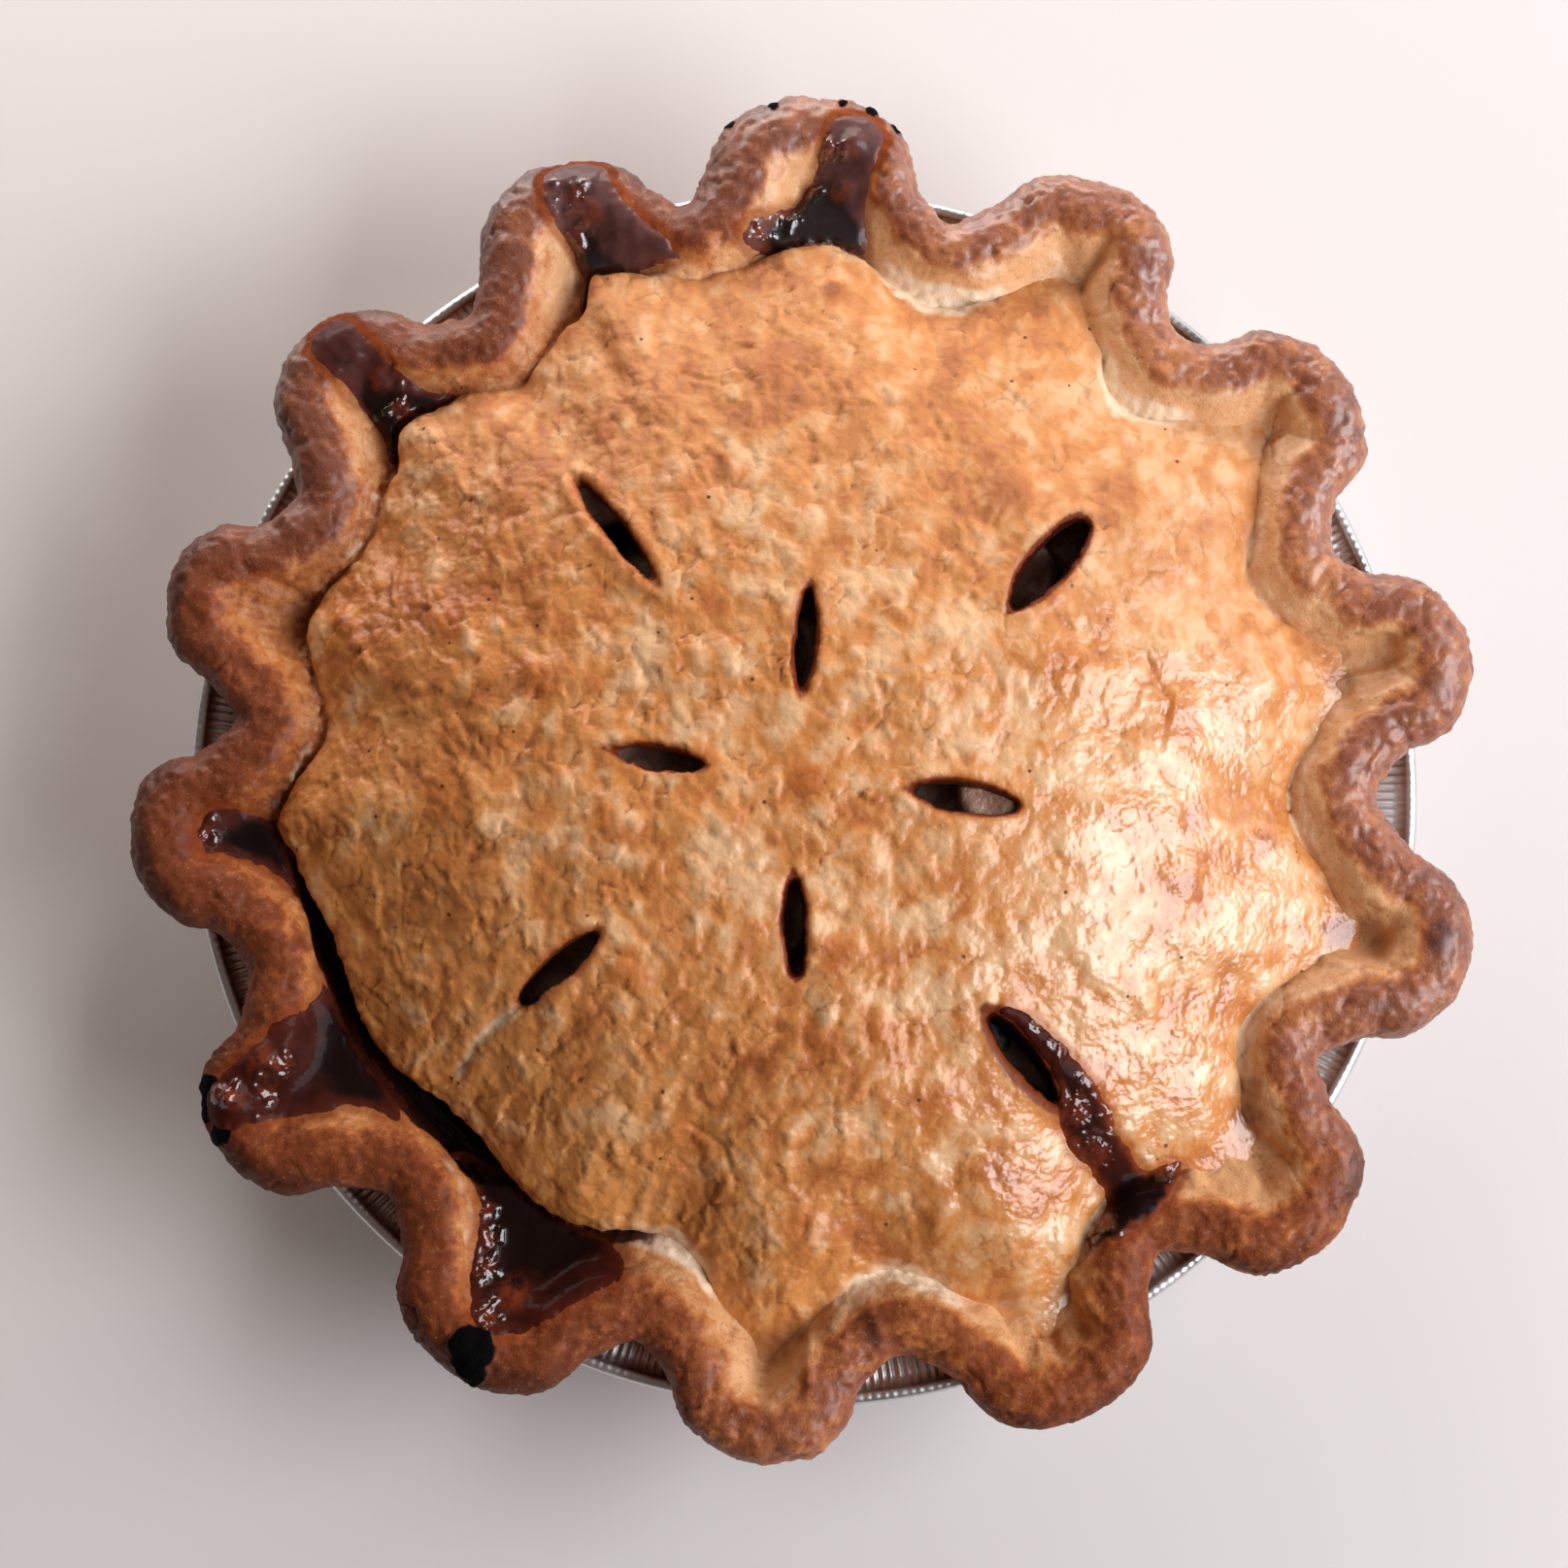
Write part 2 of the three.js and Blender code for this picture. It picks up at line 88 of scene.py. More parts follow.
# %% [markdown]
# ## The camera
#
# The pie is seen from almost straight above, through a longish lens. A camera turned by 7 degrees
# about X keeps the picture's top towards +Y. It is set before anything else, so that every later
# step can be looked at as the picture shows it.

# %% Camera
FRAME_PIXELS = 1615
FOCAL_PIXELS = 4265
SENSOR = 36.0
CAMERA_DISTANCE = 750.0
CAMERA_TILT = np.radians(7)
AIM = np.array([-3.6, 0.6, 29.0])

camera = bpy.data.objects.new("camera", bpy.data.cameras.new("camera"))
bpy.context.scene.collection.objects.link(camera)
camera.data.sensor_width = SENSOR
camera.data.lens = SENSOR * FOCAL_PIXELS / FRAME_PIXELS
camera.data.clip_start = 0.01
camera.rotation_euler = (CAMERA_TILT, 0, 0)
towards = np.array([0, np.sin(CAMERA_TILT), -np.cos(CAMERA_TILT)])
camera.location = (AIM - towards * CAMERA_DISTANCE) * MM
bpy.context.scene.camera = camera
print("lens", round(camera.data.lens, 1), "mm")

# %% [markdown]
# ## Small tools
#
# Dough is uneven at every size, so most of the work is noise that is measured in millimetres. Three
# kinds are enough. Rolling noise gives swells, scattered points give cobbles and blisters, and
# tilted plates give the flaky steps of a short crust. Each is a formula with a fixed seed, so that
# the pie is the same each time.

# %% Easing and values round the pie
def smooth(x, low, high):
    """0 below low, 1 above high, eased between them."""
    t = np.clip((np.asarray(x, float) - low) / (high - low), 0, 1)
    return t * t * (3 - 2 * t)


def round_the_pie(knots, angle):
    """A value by angle in degrees, eased between knots (angle, value) all round the pie."""
    at, value = np.array(sorted(knots), float).T
    at, value = np.append(at, at[0] + 360), np.append(value, value[0])
    wrapped = (np.asarray(angle, float) - at[0]) % 360 + at[0]
    before = np.clip(np.searchsorted(at, wrapped, side="right") - 1, 0, len(at) - 2)
    share = smooth((wrapped - at[before]) / (at[before + 1] - at[before]), 0, 1)
    return value[before] + share * (value[before + 1] - value[before])


def polar(points):
    """Angle in degrees and reach from the axis of points."""
    return np.degrees(np.arctan2(points[:, 1], points[:, 0])), np.hypot(points[:, 0], points[:, 1])


def at_polar(angle, reach):
    """Points (x, y) at an angle in degrees and a reach."""
    angle, reach = np.broadcast_arrays(np.radians(angle), reach)
    return np.stack([reach * np.cos(angle), reach * np.sin(angle)], -1)


def away_from(points, angle, reach):
    """Distance of points, seen from above, from a place at an angle and a reach."""
    return np.linalg.norm(points[:, :2] - at_polar(angle, reach), axis=1)


def lifted(xy, height):
    """Points (x, y, z) from places (x, y) and a height."""
    return np.concatenate([xy, np.broadcast_to(height, xy.shape[:-1])[..., None]], -1)


def surface_height(xy, formula):
    """Heights of a surface, given by a formula for points, over a grid of places (x, y)."""
    return formula(xy.reshape(-1, 2)).reshape(xy.shape[:-1])


def squared(value, power):
    """A sine or cosine raised to a power below 1, which turns a round section towards a square one."""
    return np.sign(value) * np.abs(value) ** power


# %% Noise in millimetres
def scramble(cells, seed):
    """A fixed random whole number for each lattice cell."""
    primes = (0x8DA6B343, 0xD8163841, 0xCB1AB31F)
    value = np.full(cells.shape[:-1], (seed * 0x9E3779B1 + 1) & 0xFFFFFFFF, np.uint32)
    for k in range(cells.shape[-1]):
        value = value ^ (cells[..., k].astype(np.int64).astype(np.uint32) * np.uint32(primes[k]))
    for shift, factor in ((15, 0x2C1B3C6D), (12, 0x297A2D39)):
        value = (value ^ (value >> np.uint32(shift))) * np.uint32(factor)
    return value ^ (value >> np.uint32(15))


def draws(value, count):
    """Numbers from 0 to 1 out of a scrambled whole number."""
    return np.stack([((value >> np.uint32(10 * k)) & np.uint32(1023)) / 1023 for k in range(count)], -1)


def rolling(points, size, seed):
    """Smooth noise from about -1 to 1 with waves of a size."""
    places = points / size
    base = np.floor(places)
    local = places - base
    fade = local**3 * (local * (local * 6 - 15) + 10)
    total = np.zeros(len(points))
    for corner in itertools.product((0, 1), repeat=points.shape[1]):
        corner = np.array(corner)
        slope = draws(scramble(base + corner, seed), points.shape[1]) * 2 - 1
        weight = np.prod(np.where(corner == 1, fade, 1 - fade), axis=1)
        total += weight * np.sum(slope * (local - corner), axis=1)
    return np.clip(total * 1.7, -1, 1)


def cobbles(points, size, seed):
    """Nearest and next nearest distance to scattered points, the way to the nearest, and its draw."""
    places = points / size
    base = np.floor(places)
    count = points.shape[1]
    first, second = np.full(len(points), 9.0), np.full(len(points), 9.0)
    way, chance = np.zeros(points.shape), np.zeros(len(points))
    for offset in itertools.product((-1, 0, 1), repeat=count):
        value = scramble(base + np.array(offset), seed)
        to = base + np.array(offset) + draws(value, count) - places
        distance = np.linalg.norm(to, axis=1)
        nearer = distance < first
        second = np.where(nearer, first, np.minimum(second, distance))
        first = np.where(nearer, distance, first)
        way[nearer] = to[nearer]
        chance[nearer] = draws(scramble(base + np.array(offset), seed + 71), 1)[nearer, 0]
    return first, second, way, chance


def plates(points, size, seed):
    """Flaky steps: every cell of scattered points is a plate tilted its own way, from about -1 to 1."""
    _, _, way, chance = cobbles(points, size, seed)
    turn = 2 * np.pi * chance
    return np.clip(way[:, 0] * np.cos(turn) + way[:, 1] * np.sin(turn), -1, 1)


def wrinkles(points, size, seed):
    """Soft puffs with creases between them, from about -0.5 to 1, of no regular shape."""
    return 2.2 * np.sqrt(rolling(points, size, seed) ** 2 + 0.004) - 0.65


# %% Meshes
def grid_faces(rows, columns, close_rows=False, close_columns=False):
    """Quads of a grid of points, rows first, closed either way where asked."""
    row = np.arange(rows if close_rows else rows - 1)[:, None]
    column = np.arange(columns if close_columns else columns - 1)[None, :]
    next_row, next_column = (row + 1) % rows, (column + 1) % columns
    quads = [row * columns + column, next_row * columns + column]
    quads += [next_row * columns + next_column, row * columns + next_column]
    return np.stack(quads, -1).reshape(-1, 4)


def turned(ring):
    """A shape made of one row of points for each angle, whose first and last columns are closed."""
    rows, columns = ring.shape[:2]
    first = np.arange(rows) * columns
    faces = [grid_faces(rows, columns, close_rows=True), [first[::-1]], [first + columns - 1]]
    return ring.reshape(-1, 3), faces


def joined(shapes):
    """Several shapes, each its points and its lists of faces, as one."""
    starts = np.cumsum([0] + [len(points) for points, _ in shapes])
    faces = [np.asarray(group) + start for (_, groups), start in zip(shapes, starts) for group in groups]
    return np.vstack([points for points, _ in shapes]), faces


def add_piece(name, points, faces):
    """A mesh object from points in millimetres and lists of faces."""
    mesh = bpy.data.meshes.new(name)
    listed = [face for group in faces for face in np.asarray(group).tolist()]
    mesh.from_pydata((points * MM).tolist(), [], listed)
    mesh.validate()
    piece = bpy.data.objects.new(name, mesh)
    bpy.context.scene.collection.objects.link(piece)
    return piece


def apply_all(piece):
    """Turns a piece's modifiers into its mesh."""
    made = bpy.data.meshes.new_from_object(piece.evaluated_get(bpy.context.evaluated_depsgraph_get()))
    piece.modifiers.clear()
    old, piece.data = piece.data, made
    bpy.data.meshes.remove(old)


def modify(piece, kind, **settings):
    """Adds one modifier with its settings and applies it."""
    modifier = piece.modifiers.new(kind.lower(), kind)
    for key, value in settings.items():
        setattr(modifier, key, value)
    apply_all(piece)


def read_points(piece):
    """A piece's points in millimetres and its normals."""
    mesh = piece.data
    points, normals = np.zeros(len(mesh.vertices) * 3), np.zeros(len(mesh.vertices) * 3)
    mesh.vertices.foreach_get("co", points)
    mesh.vertices.foreach_get("normal", normals)
    return points.reshape(-1, 3) / MM, normals.reshape(-1, 3)


def write_points(piece, points):
    """Moves a piece's points to places in millimetres."""
    piece.data.vertices.foreach_set("co", (points * MM).ravel())
    piece.data.update()


def paint(piece, **masks):
    """Stores masks from 0 to 1 on a piece's points, for its material."""
    for name, values in masks.items():
        attribute = piece.data.attributes.new(name, "FLOAT", "POINT")
        attribute.data.foreach_set("value", np.clip(values, 0, 1).astype(np.float32))


def thin_out(piece, hidden, keep):
    """Collapses faces among the hidden points of a piece, down to a share of all faces."""
    group = piece.vertex_groups.new(name="hidden")
    group.add(np.flatnonzero(hidden).tolist(), 1.0, "REPLACE")
    modify(piece, "DECIMATE", ratio=keep, vertex_group="hidden", vertex_group_factor=1)
    piece.vertex_groups.clear()


# %% [markdown]
# ## The path of the rim
#
# The rim is one roll of dough. Thumb and fingers push it in at fourteen waists and pull it out in
# fourteen lobes. It could be a circle with a wave, but hand-made lobes differ in width and reach, so
# each lobe and each waist has its own numbers, and one smooth closed curve runs through them.

# %% Lobes and waists
# A lobe: its tip, where it starts and ends, how far it reaches, and the lid's edge in its mouth.
LOBES = [
    (11, 2.5, 21, 122, 95.4),
    (37, 27.5, 47.5, 123, 100.7),
    (61, 53, 72.5, 123.5, 99.6),
    (88.5, 78, 99.5, 126, 98.2),
    (112.5, 103.5, 122.5, 122.8, 100.6),
    (138.5, 129, 148, 122, 97.9),
    (162, 154, 171, 120.3, 94.3),
    (185, 176.5, 195, 121.3, 94.8),
    (211.5, 203, 221.5, 123.6, 89.6),
    (240, 229, 250, 122, 89.2),
    (267, 256.5, 275.5, 121, 96.9),
    (294, 283.5, 304.5, 123.5, 101.5),
    (319, 309.5, 329, 124, 98.1),
    (344, 334.5, 354, 123, 96.2),
]
# The waist after each lobe: its angle, the roll's outer and inner edge there, and the lid's edge.
WAISTS = [
    (24, 106.5, 88.8, 88),
    (50, 108.6, 90.2, 89.2),
    (75, 106.8, 91.5, 90.3),
    (101, 108.5, 94.6, 94),
    (125, 106.5, 90, 89.4),
    (151, 106.3, 91, 90.4),
    (173.5, 104, 87.4, 86.8),
    (199, 105.5, 92, 88.4),
    (225, 104.5, 91, 85.4),
    (253, 102.8, 90.4, 84.6),
    (279.5, 104, 89, 88.3),
    (307, 103.8, 92, 91.4),
    (331, 104, 90.4, 89.7),
    (358, 104.2, 87.6, 86.8),
]
ROLL_HALF_WIDTH = 6.5
# The roll's flanks lie inside a lobe's ends by some degrees and below its tip by a share of its depth.
FLANK_INSET = 3.4
FLANK_FALL = 0.55
# Its shoulders lie between the flanks and the tip, a little further in than the tip.
SHOULDER_SHARE = 0.3
SHOULDER_FALL = 2.8


def closed_curve(points, steps):
    """A smooth closed curve through points, centripetal so that it never loops, at even steps."""
    before, after = np.roll(points, 1, axis=0), np.roll(points, -1, axis=0)
    beyond = np.roll(points, -2, axis=0)
    t0, t1, t2 = (np.sqrt(np.linalg.norm(b - a, axis=1))[:, None] for a, b in
                  ((before, points), (points, after), (after, beyond)))
    leave = ((points - before) / t0 - (after - before) / (t0 + t1) + (after - points) / t1) * t1
    arrive = ((after - points) / t1 - (beyond - points) / (t1 + t2) + (beyond - after) / t2) * t1
    fine = np.linspace(0, 1, 60, endpoint=False)[None, :, None]
    start, end, leave, arrive = (side[:, None] for side in (points, after, leave, arrive))
    bend = 3 * (end - start) - 2 * leave - arrive
    twist = 2 * (start - end) + leave + arrive
    dense = (start + leave * fine + bend * fine**2 + twist * fine**3).reshape(-1, points.shape[1])
    lengths = np.linalg.norm(np.roll(dense, -1, axis=0) - dense, axis=1)
    travelled = np.concatenate([[0], np.cumsum(lengths)])
    looped = np.vstack([dense, dense[:1]])
    wanted = np.linspace(0, travelled[-1], steps, endpoint=False)
    return np.stack([np.interp(wanted, travelled, looped[:, k]) for k in range(points.shape[1])], -1)


def roll_points():
    """The points that the roll's middle runs through: in at each waist, up a flank, round the tip."""
    points = []
    for i, (tip, start, end, reach, _) in enumerate(LOBES):
        waist_at, outer, inner, _ = WAISTS[i - 1]
        top, waist = reach - ROLL_HALF_WIDTH, (outer + inner) / 2
        flank = top - FLANK_FALL * (top - waist)
        start, end = start + FLANK_INSET, end - FLANK_INSET
        points.append((waist_at, waist))
        points.append((start, flank))
        points.append((start + SHOULDER_SHARE * (tip - start), top - SHOULDER_FALL))
        points.append((tip, top))
        points.append((end + SHOULDER_SHARE * (tip - end), top - SHOULDER_FALL))
        points.append((end, flank))
    return at_polar(*np.array(points).T)


ROLL_STEPS = 1400
path = closed_curve(roll_points(), ROLL_STEPS)
path_step = np.linalg.norm(path[1] - path[0])
path_angle, path_reach = polar(path)
along = np.roll(path, -1, axis=0) - np.roll(path, 1, axis=0)
along /= np.linalg.norm(along, axis=1)[:, None]
outward = np.stack([along[:, 1], -along[:, 0]], -1)
print(f"the roll is {path_step * ROLL_STEPS:.0f} mm long")

# %% Distances from the path
path_tree = KDTree(ROLL_STEPS)
for i, (x, y) in enumerate(path):
    path_tree.insert((x, y, 0), i)
path_tree.balance()


def from_path(points):
    """How far along the path points lie, how far outside it (below zero inside), and how far away."""
    nearest = np.array([path_tree.find((x, y, 0))[1] for x, y in points[:, :2]])
    away = points[:, :2] - path[nearest]
    return nearest * path_step, np.sum(away * outward[nearest], axis=1), np.linalg.norm(away, axis=1)


order = np.argsort(path_angle % 360)


def path_radius(angle):
    """Reach of the path at an angle."""
    return np.interp(np.asarray(angle) % 360, (path_angle % 360)[order], path_reach[order], period=360)


mouth_knots = [(lobe[0], 1) for lobe in LOBES] + [(waist[0], 0) for waist in WAISTS]
edge_knots = [(lobe[0], lobe[4]) for lobe in LOBES] + [(waist[0], waist[3]) for waist in WAISTS]
# Torn corners, where the lid's edge falls back at once beside a lobe: angle and reach.
edge_knots += [(115.6, 94.4), (143, 93.2), (189, 91.6), (105.6, 97.4), (131.6, 94.6)]
# How firmly the lid was pressed into the lobes at some angles, from 0 to 1.
PRESSED = [(64, 1), (84, 0.1), (100, 0), (252, 0), (262, 1), (290, 1), (345, 1), (20, 1)]


def lid_edge(angle):
    """Reach of the lid's edge at an angle."""
    return round_the_pie(edge_knots, angle)


def mouth_share(angle):
    """1 in the middle of a lobe's mouth, 0 at a waist."""
    return round_the_pie(mouth_knots, angle)


def tongue_share(angle):
    """How far the lid runs into the scoop at an angle, from 0 to 1."""
    return round_the_pie(PRESSED, angle) * smooth(mouth_share(angle), 0.3, 0.85)


TEAR_START, TEAR_END, TEAR_REACH = 189, 234, 92.2


def torn_share(angle):
    """1 along the tear, where the lid has come away from the rim, eased to 0 beside it."""
    at = np.asarray(angle) % 360
    return smooth(at, TEAR_START - 5, TEAR_START + 4) * (1 - smooth(at, TEAR_END - 4, TEAR_END + 5))


whole_turn = np.arange(0, 360)
print(f"the lid's edge reaches {lid_edge(whole_turn).min():.1f} to {lid_edge(whole_turn).max():.1f} mm")

# %% [markdown]
# ## The rim
#
# The roll's section is a flattened round, broad where a thumb left it alone and thin where it was
# pinched. Between the roll and the lid lies a sheet of the same dough, which dips into a scoop in
# every lobe. A sculptor would press the two together. Here both are made as closed shapes, and a
# voxel remesh joins them into one even skin whose creases a few rounds of smoothing soften.
# The remesh makes small even faces, so that the relief afterwards is real shape and not only shading.

# %% The roll and the scoops
SHEET_BOTTOM = TIN_TOP + 1.1
SCOOP_FLOOR = LID_BOTTOM + 0.1
SCOOP_RISE = 2.4
WAIST_RISE = 2.9
SEAM_DEPTH = 1.5
ROLL_RISE = 6.4
ROLL_MIDDLE = RIM_TOP - ROLL_RISE
FLANK_TOP = ROLL_MIDDLE + 4.2
ROLL_UNDER = 5.4
ROLL_SIDES = 28
SHEET_ROWS, SHEET_COLUMNS = 900, 44
SKIN = 0.65
# The share of all faces that is kept when the hidden underside is thinned out.
RIM_KEPT = 0.62
# How broad the roll is at some angles, as a share of its usual width.
ROLL_BREADTH = [
    (3, 1.0), (20, 1.02), (33, 0.96), (45, 1.05), (56, 0.95), (70, 1.06), (80.5, 0.82), (87, 1), (96, 1.2),
    (106, 0.9), (119, 1.02), (131, 0.94), (146, 1), (163, 0.98), (180, 1.02), (205, 0.92), (219, 0.98),
    (232, 1.02), (247, 1.05), (259, 0.98), (274, 1.04), (288, 1.02), (302, 0.94), (313, 1), (326, 1.02),
    (340, 0.96), (350, 1.05),
]


def scoop_height(points):
    """Height of the sheet's upper face, which climbs from the scoops to the roll's flanks."""
    angle, reach = polar(points)
    _, _, away = from_path(points)
    beyond = reach - lid_edge(angle)
    at_waist = (1 - smooth(mouth_share(angle), 0.1, 0.75)) * (1 - torn_share(angle))
    floor = SCOOP_FLOOR + SCOOP_RISE * smooth(beyond, 5, 18) + WAIST_RISE * at_waist
    height = floor + (FLANK_TOP - floor) * (1 - smooth(away, 3.4, 11.4))
    return height - SEAM_DEPTH * np.exp(-(((beyond - 0.2) / 0.8) ** 2)) * (1 - tongue_share(angle))


def make_roll():
    """The roll of dough, swept along the path. It is a little broader on its inner side."""
    turn = np.linspace(0, 2 * np.pi, ROLL_SIDES, endpoint=False)
    across, up = squared(np.cos(turn), 0.9), squared(np.sin(turn), 0.95)
    breadth = round_the_pie(ROLL_BREADTH, path_angle)[:, None] * ROLL_HALF_WIDTH * 0.98
    side = across * breadth * np.where(across < 0, 1.05, 1)
    height = ROLL_MIDDLE + up * np.where(up > 0, ROLL_RISE, ROLL_UNDER)
    lift = 0.8 * rolling(path, 17, 3)[:, None] * (up > -0.3)
    points = lifted(path[:, None, :] + outward[:, None, :] * side[..., None], height + lift)
    return points.reshape(-1, 3), [grid_faces(ROLL_STEPS, ROLL_SIDES, True, True)]


def sheet_inner(angle):
    """Where the sheet ends under the lid, further out where the lid has torn away."""
    under = np.minimum(lid_edge(angle) - 5, 92)
    return under + torn_share(angle) * (TEAR_REACH - under)


def make_sheet():
    """The sheet between the lid and the roll's middle, closed by a flat underside."""
    angle = np.linspace(0, 360, SHEET_ROWS, endpoint=False)[:, None]
    inner = sheet_inner(angle)
    xy = at_polar(angle, inner + np.linspace(0, 1, SHEET_COLUMNS) * (path_radius(angle) - inner))
    top = lifted(xy, surface_height(xy, scoop_height))
    ring = np.concatenate([top, lifted(xy, SHEET_BOTTOM)[:, ::-4]], 1)
    return ring.reshape(-1, 3), [grid_faces(SHEET_ROWS, ring.shape[1], True, True)]


rim = add_piece("crimped_rim", *joined([make_roll(), make_sheet()]))
modify(rim, "REMESH", mode="VOXEL", voxel_size=SKIN * MM)
modify(rim, "SMOOTH", factor=0.5, iterations=9)
points, normals = read_points(rim)
thin_out(rim, (normals[:, 2] < -0.35) | (points[:, 2] < SHEET_BOTTOM + 0.6), RIM_KEPT)
print("rim", len(rim.data.polygons), "faces")

# %% [markdown]
# ## Relief of the rim
#
# Baked shortcrust is never smooth. The roll swells in lumps across its crest, its surface is pebbly
# where bits of butter melted, and short cracks open where it was bent. All of it is a few tenths of
# a millimetre to a millimetre, so it is made by moving the points along their normals.
# The same numbers then say where the crust is toasted, scorched or still pale.

# %% Folds and char on the rim
# A fold in a scoop: its angle, where it starts and ends, its half width, and its height.
FOLDS = [
    (290.6, 99, 113, 1.1, -1.0), (292.2, 99, 112, 0.9, 0.8), (293.8, 98, 114, 1.1, -1.2),
    (296.6, 99, 112, 1.3, -1.2), (298.6, 100, 110, 1.0, 0.8),
    (315.6, 99, 110, 1.4, -1.1), (318.2, 98, 109, 1.3, 1.2), (321.4, 98, 110, 1.2, -1.3),
    (344.4, 101, 109, 2.8, -2.4), (341, 98, 110, 1.2, 0.9), (348, 98, 108, 1.2, 0.8),
    (7.5, 98, 110, 1.3, -1.0), (10.6, 97, 111, 1.4, 1.2), (13.6, 98, 112, 1.2, -1.3),
    (38.6, 103, 116, 1.6, -1.3), (35.6, 103, 113, 1.2, 0.8), (61, 103, 115, 1.5, -1.3),
    (159.6, 96, 108, 1.1, -0.9), (162.4, 96, 109, 1.2, 0.8), (165.4, 96, 107, 1.1, -0.9),
    (266, 98, 112, 1.5, -1.0), (270.4, 98, 108, 1.1, 0.8),
]
# A spot of burnt syrup: its angle, reach and radius.
CHAR_SPOTS = [
    (239.9, 116.3, 4.9), (240.8, 119.2, 3.0), (209.2, 119.8, 3.4), (207.4, 118.6, 2.4), (211.4, 121, 2.4),
    (81.8, 121.8, 1.6), (84.2, 123.6, 1.3), (86.8, 124.4, 1.0), (92.6, 123.6, 1.1), (96.4, 121.2, 1.2),
]
# How much darker the rim is at some angles, from 0 to 1: partly browner crust, partly
# painted shade on the left and lower side, which lie away from the window.
BAKED_AND_SHADED = [
    (15, 0.1), (60, 0.1), (100, 0.3), (125, 0.55), (150, 0.8), (185, 1), (225, 0.95), (255, 0.75),
    (285, 0.5), (330, 0.3),
]
# How much darker (or paler below zero) a lobe or waist is than its neighbours.
UNEVEN = [
    (0, -0.02), (24, -0.08), (61, -0.06), (75, -0.04), (88, -0.06), (101, 0.14), (112, -0.1), (125, 0.16),
    (138, -0.12), (151, 0.12), (170, 0.04), (185, 0.24), (200, 0), (250, 0), (267, -0.22), (280, -0.08),
    (300, 0), (344, -0.1),
]
# How much pale dough shows in the waists beside the lid, in the strip outside it, and on the tear's lip.
PALE_WAISTS = [
    (20, 0.45), (46, 1), (78, 1), (94, 0.1), (150, 0.2), (185, 0.2), (235, 0.1), (255, 0.9), (290, 0.9),
    (330, 0.5),
]
PALE_STRIP = [(96, 0), (104, 0.3), (150, 1), (186, 1), (193, 0), (250, 0), (256, 0.6), (262, 0)]
PALE_LIP = [(222, 0), (228, 1), (250, 1), (256, 0)]
# How much egg the rim has at some angles, from 0 to 1.
EGGED = [
    (0, 0.7), (25, 0.85), (60, 1), (90, 1), (102, 0.3), (114, 0.8), (126, 0.3), (140, 0.6), (165, 0.2),
    (220, 0.08), (255, 0.1), (267, 0.35), (285, 0.08), (315, 0.1), (340, 0.6),
]


def fold_relief(points):
    """Height of the radial folds in the scoops."""
    angle, reach = polar(points)
    height = np.zeros(len(points))
    for at, start, end, half, rise in FOLDS:
        aside = np.radians((angle - at + 180) % 360 - 180) * reach
        inside = smooth(reach, start - 2, start + 1) * (1 - smooth(reach, end - 3, end + 1))
        height += rise * inside * np.exp(-((aside / half) ** 2))
    return height


def spots(points, rows):
    """How far points lie inside round spots (angle, reach, radius), from 0 to 1 with a ragged edge."""
    inside = np.zeros(len(points))
    ragged = rolling(points, 1.6, 41) * 0.14
    for at, out, radius in rows:
        share = away_from(points, at, out) / radius
        inside = np.maximum(inside, 1 - smooth(share + ragged, 0.72, 1.0))
    return inside


print(len(FOLDS), "folds and", len(CHAR_SPOTS), "burnt spots")

# %% Relief of the rim
points, normals = read_points(rim)
travel, side, away = from_path(points)
angle, reach = polar(points)
on_roll = 1 - smooth(away, 7, 11)
# Knobs are laid out along the path, so they fade where its end meets its start.
seam = smooth(np.minimum(travel, path_step * ROLL_STEPS - travel), 0, 8)
facing_up = smooth(normals[:, 2], -0.5, 0.2)
knobs = 0.52 - cobbles(np.stack([travel, side * 0.7], -1), 3.6, 13)[0]
pebbles = 0.5 - cobbles(points, 1.9, 14)[0]
crack = 1 - smooth(np.abs(rolling(points * [1, 1, 0.5], 7.5, 15)), 0, 0.07)
crack *= smooth(rolling(points, 9, 16), -0.1, 0.3)
lumps = 0.6 * rolling(points, 12, 11) + 0.42 * rolling(points, 6, 12)
char = spots(points, CHAR_SPOTS)
on_crest = smooth(side, -5.5, -2.5) * on_roll
rough = 0.35 + 0.65 * on_crest
fine = (0.45 * pebbles + 0.3 * rolling(points, 1.5, 17)) * rough + 0.42 * knobs * on_roll * seam
fine -= 0.45 * crack
relief = (lumps + fine) * facing_up + fold_relief(points)
relief += 0.3 * char + spots(points, CHAR_SPOTS[:2]) * (0.8 + 0.5 * rolling(points, 2, 18))
print("relief of the rim", relief.min().round(2), "to", relief.max().round(2), "mm")

# %% Toast and scorch on the rim
in_lobe = smooth(reach, 99, 112)
patchy = 0.5 + 0.5 * rolling(points, 9, 19)
streaky = 0.5 + 0.5 * rolling(points, 3.4, 20)
crest = smooth(side + 1.6 * rolling(points, 4, 21), -5.4, -1.8)
beyond = reach - lid_edge(angle)
baked, uneven = round_the_pie(BAKED_AND_SHADED, angle), round_the_pie(UNEVEN, angle)
toast = 0.08 + 0.46 * crest + 0.1 * in_lobe + 0.25 * (patchy - 0.5) + 0.25 * (streaky - 0.5) - 0.2 * fine
# The left and lower side is made darker here by angle: partly browner crust, partly painted shade.
toast += 0.34 * baked * (0.5 + 0.5 * smooth(side, -7, -1)) * (1 - 0.4 * crest) + uneven
toast += 0.24 * (crest - 0.65) * (1 - baked)
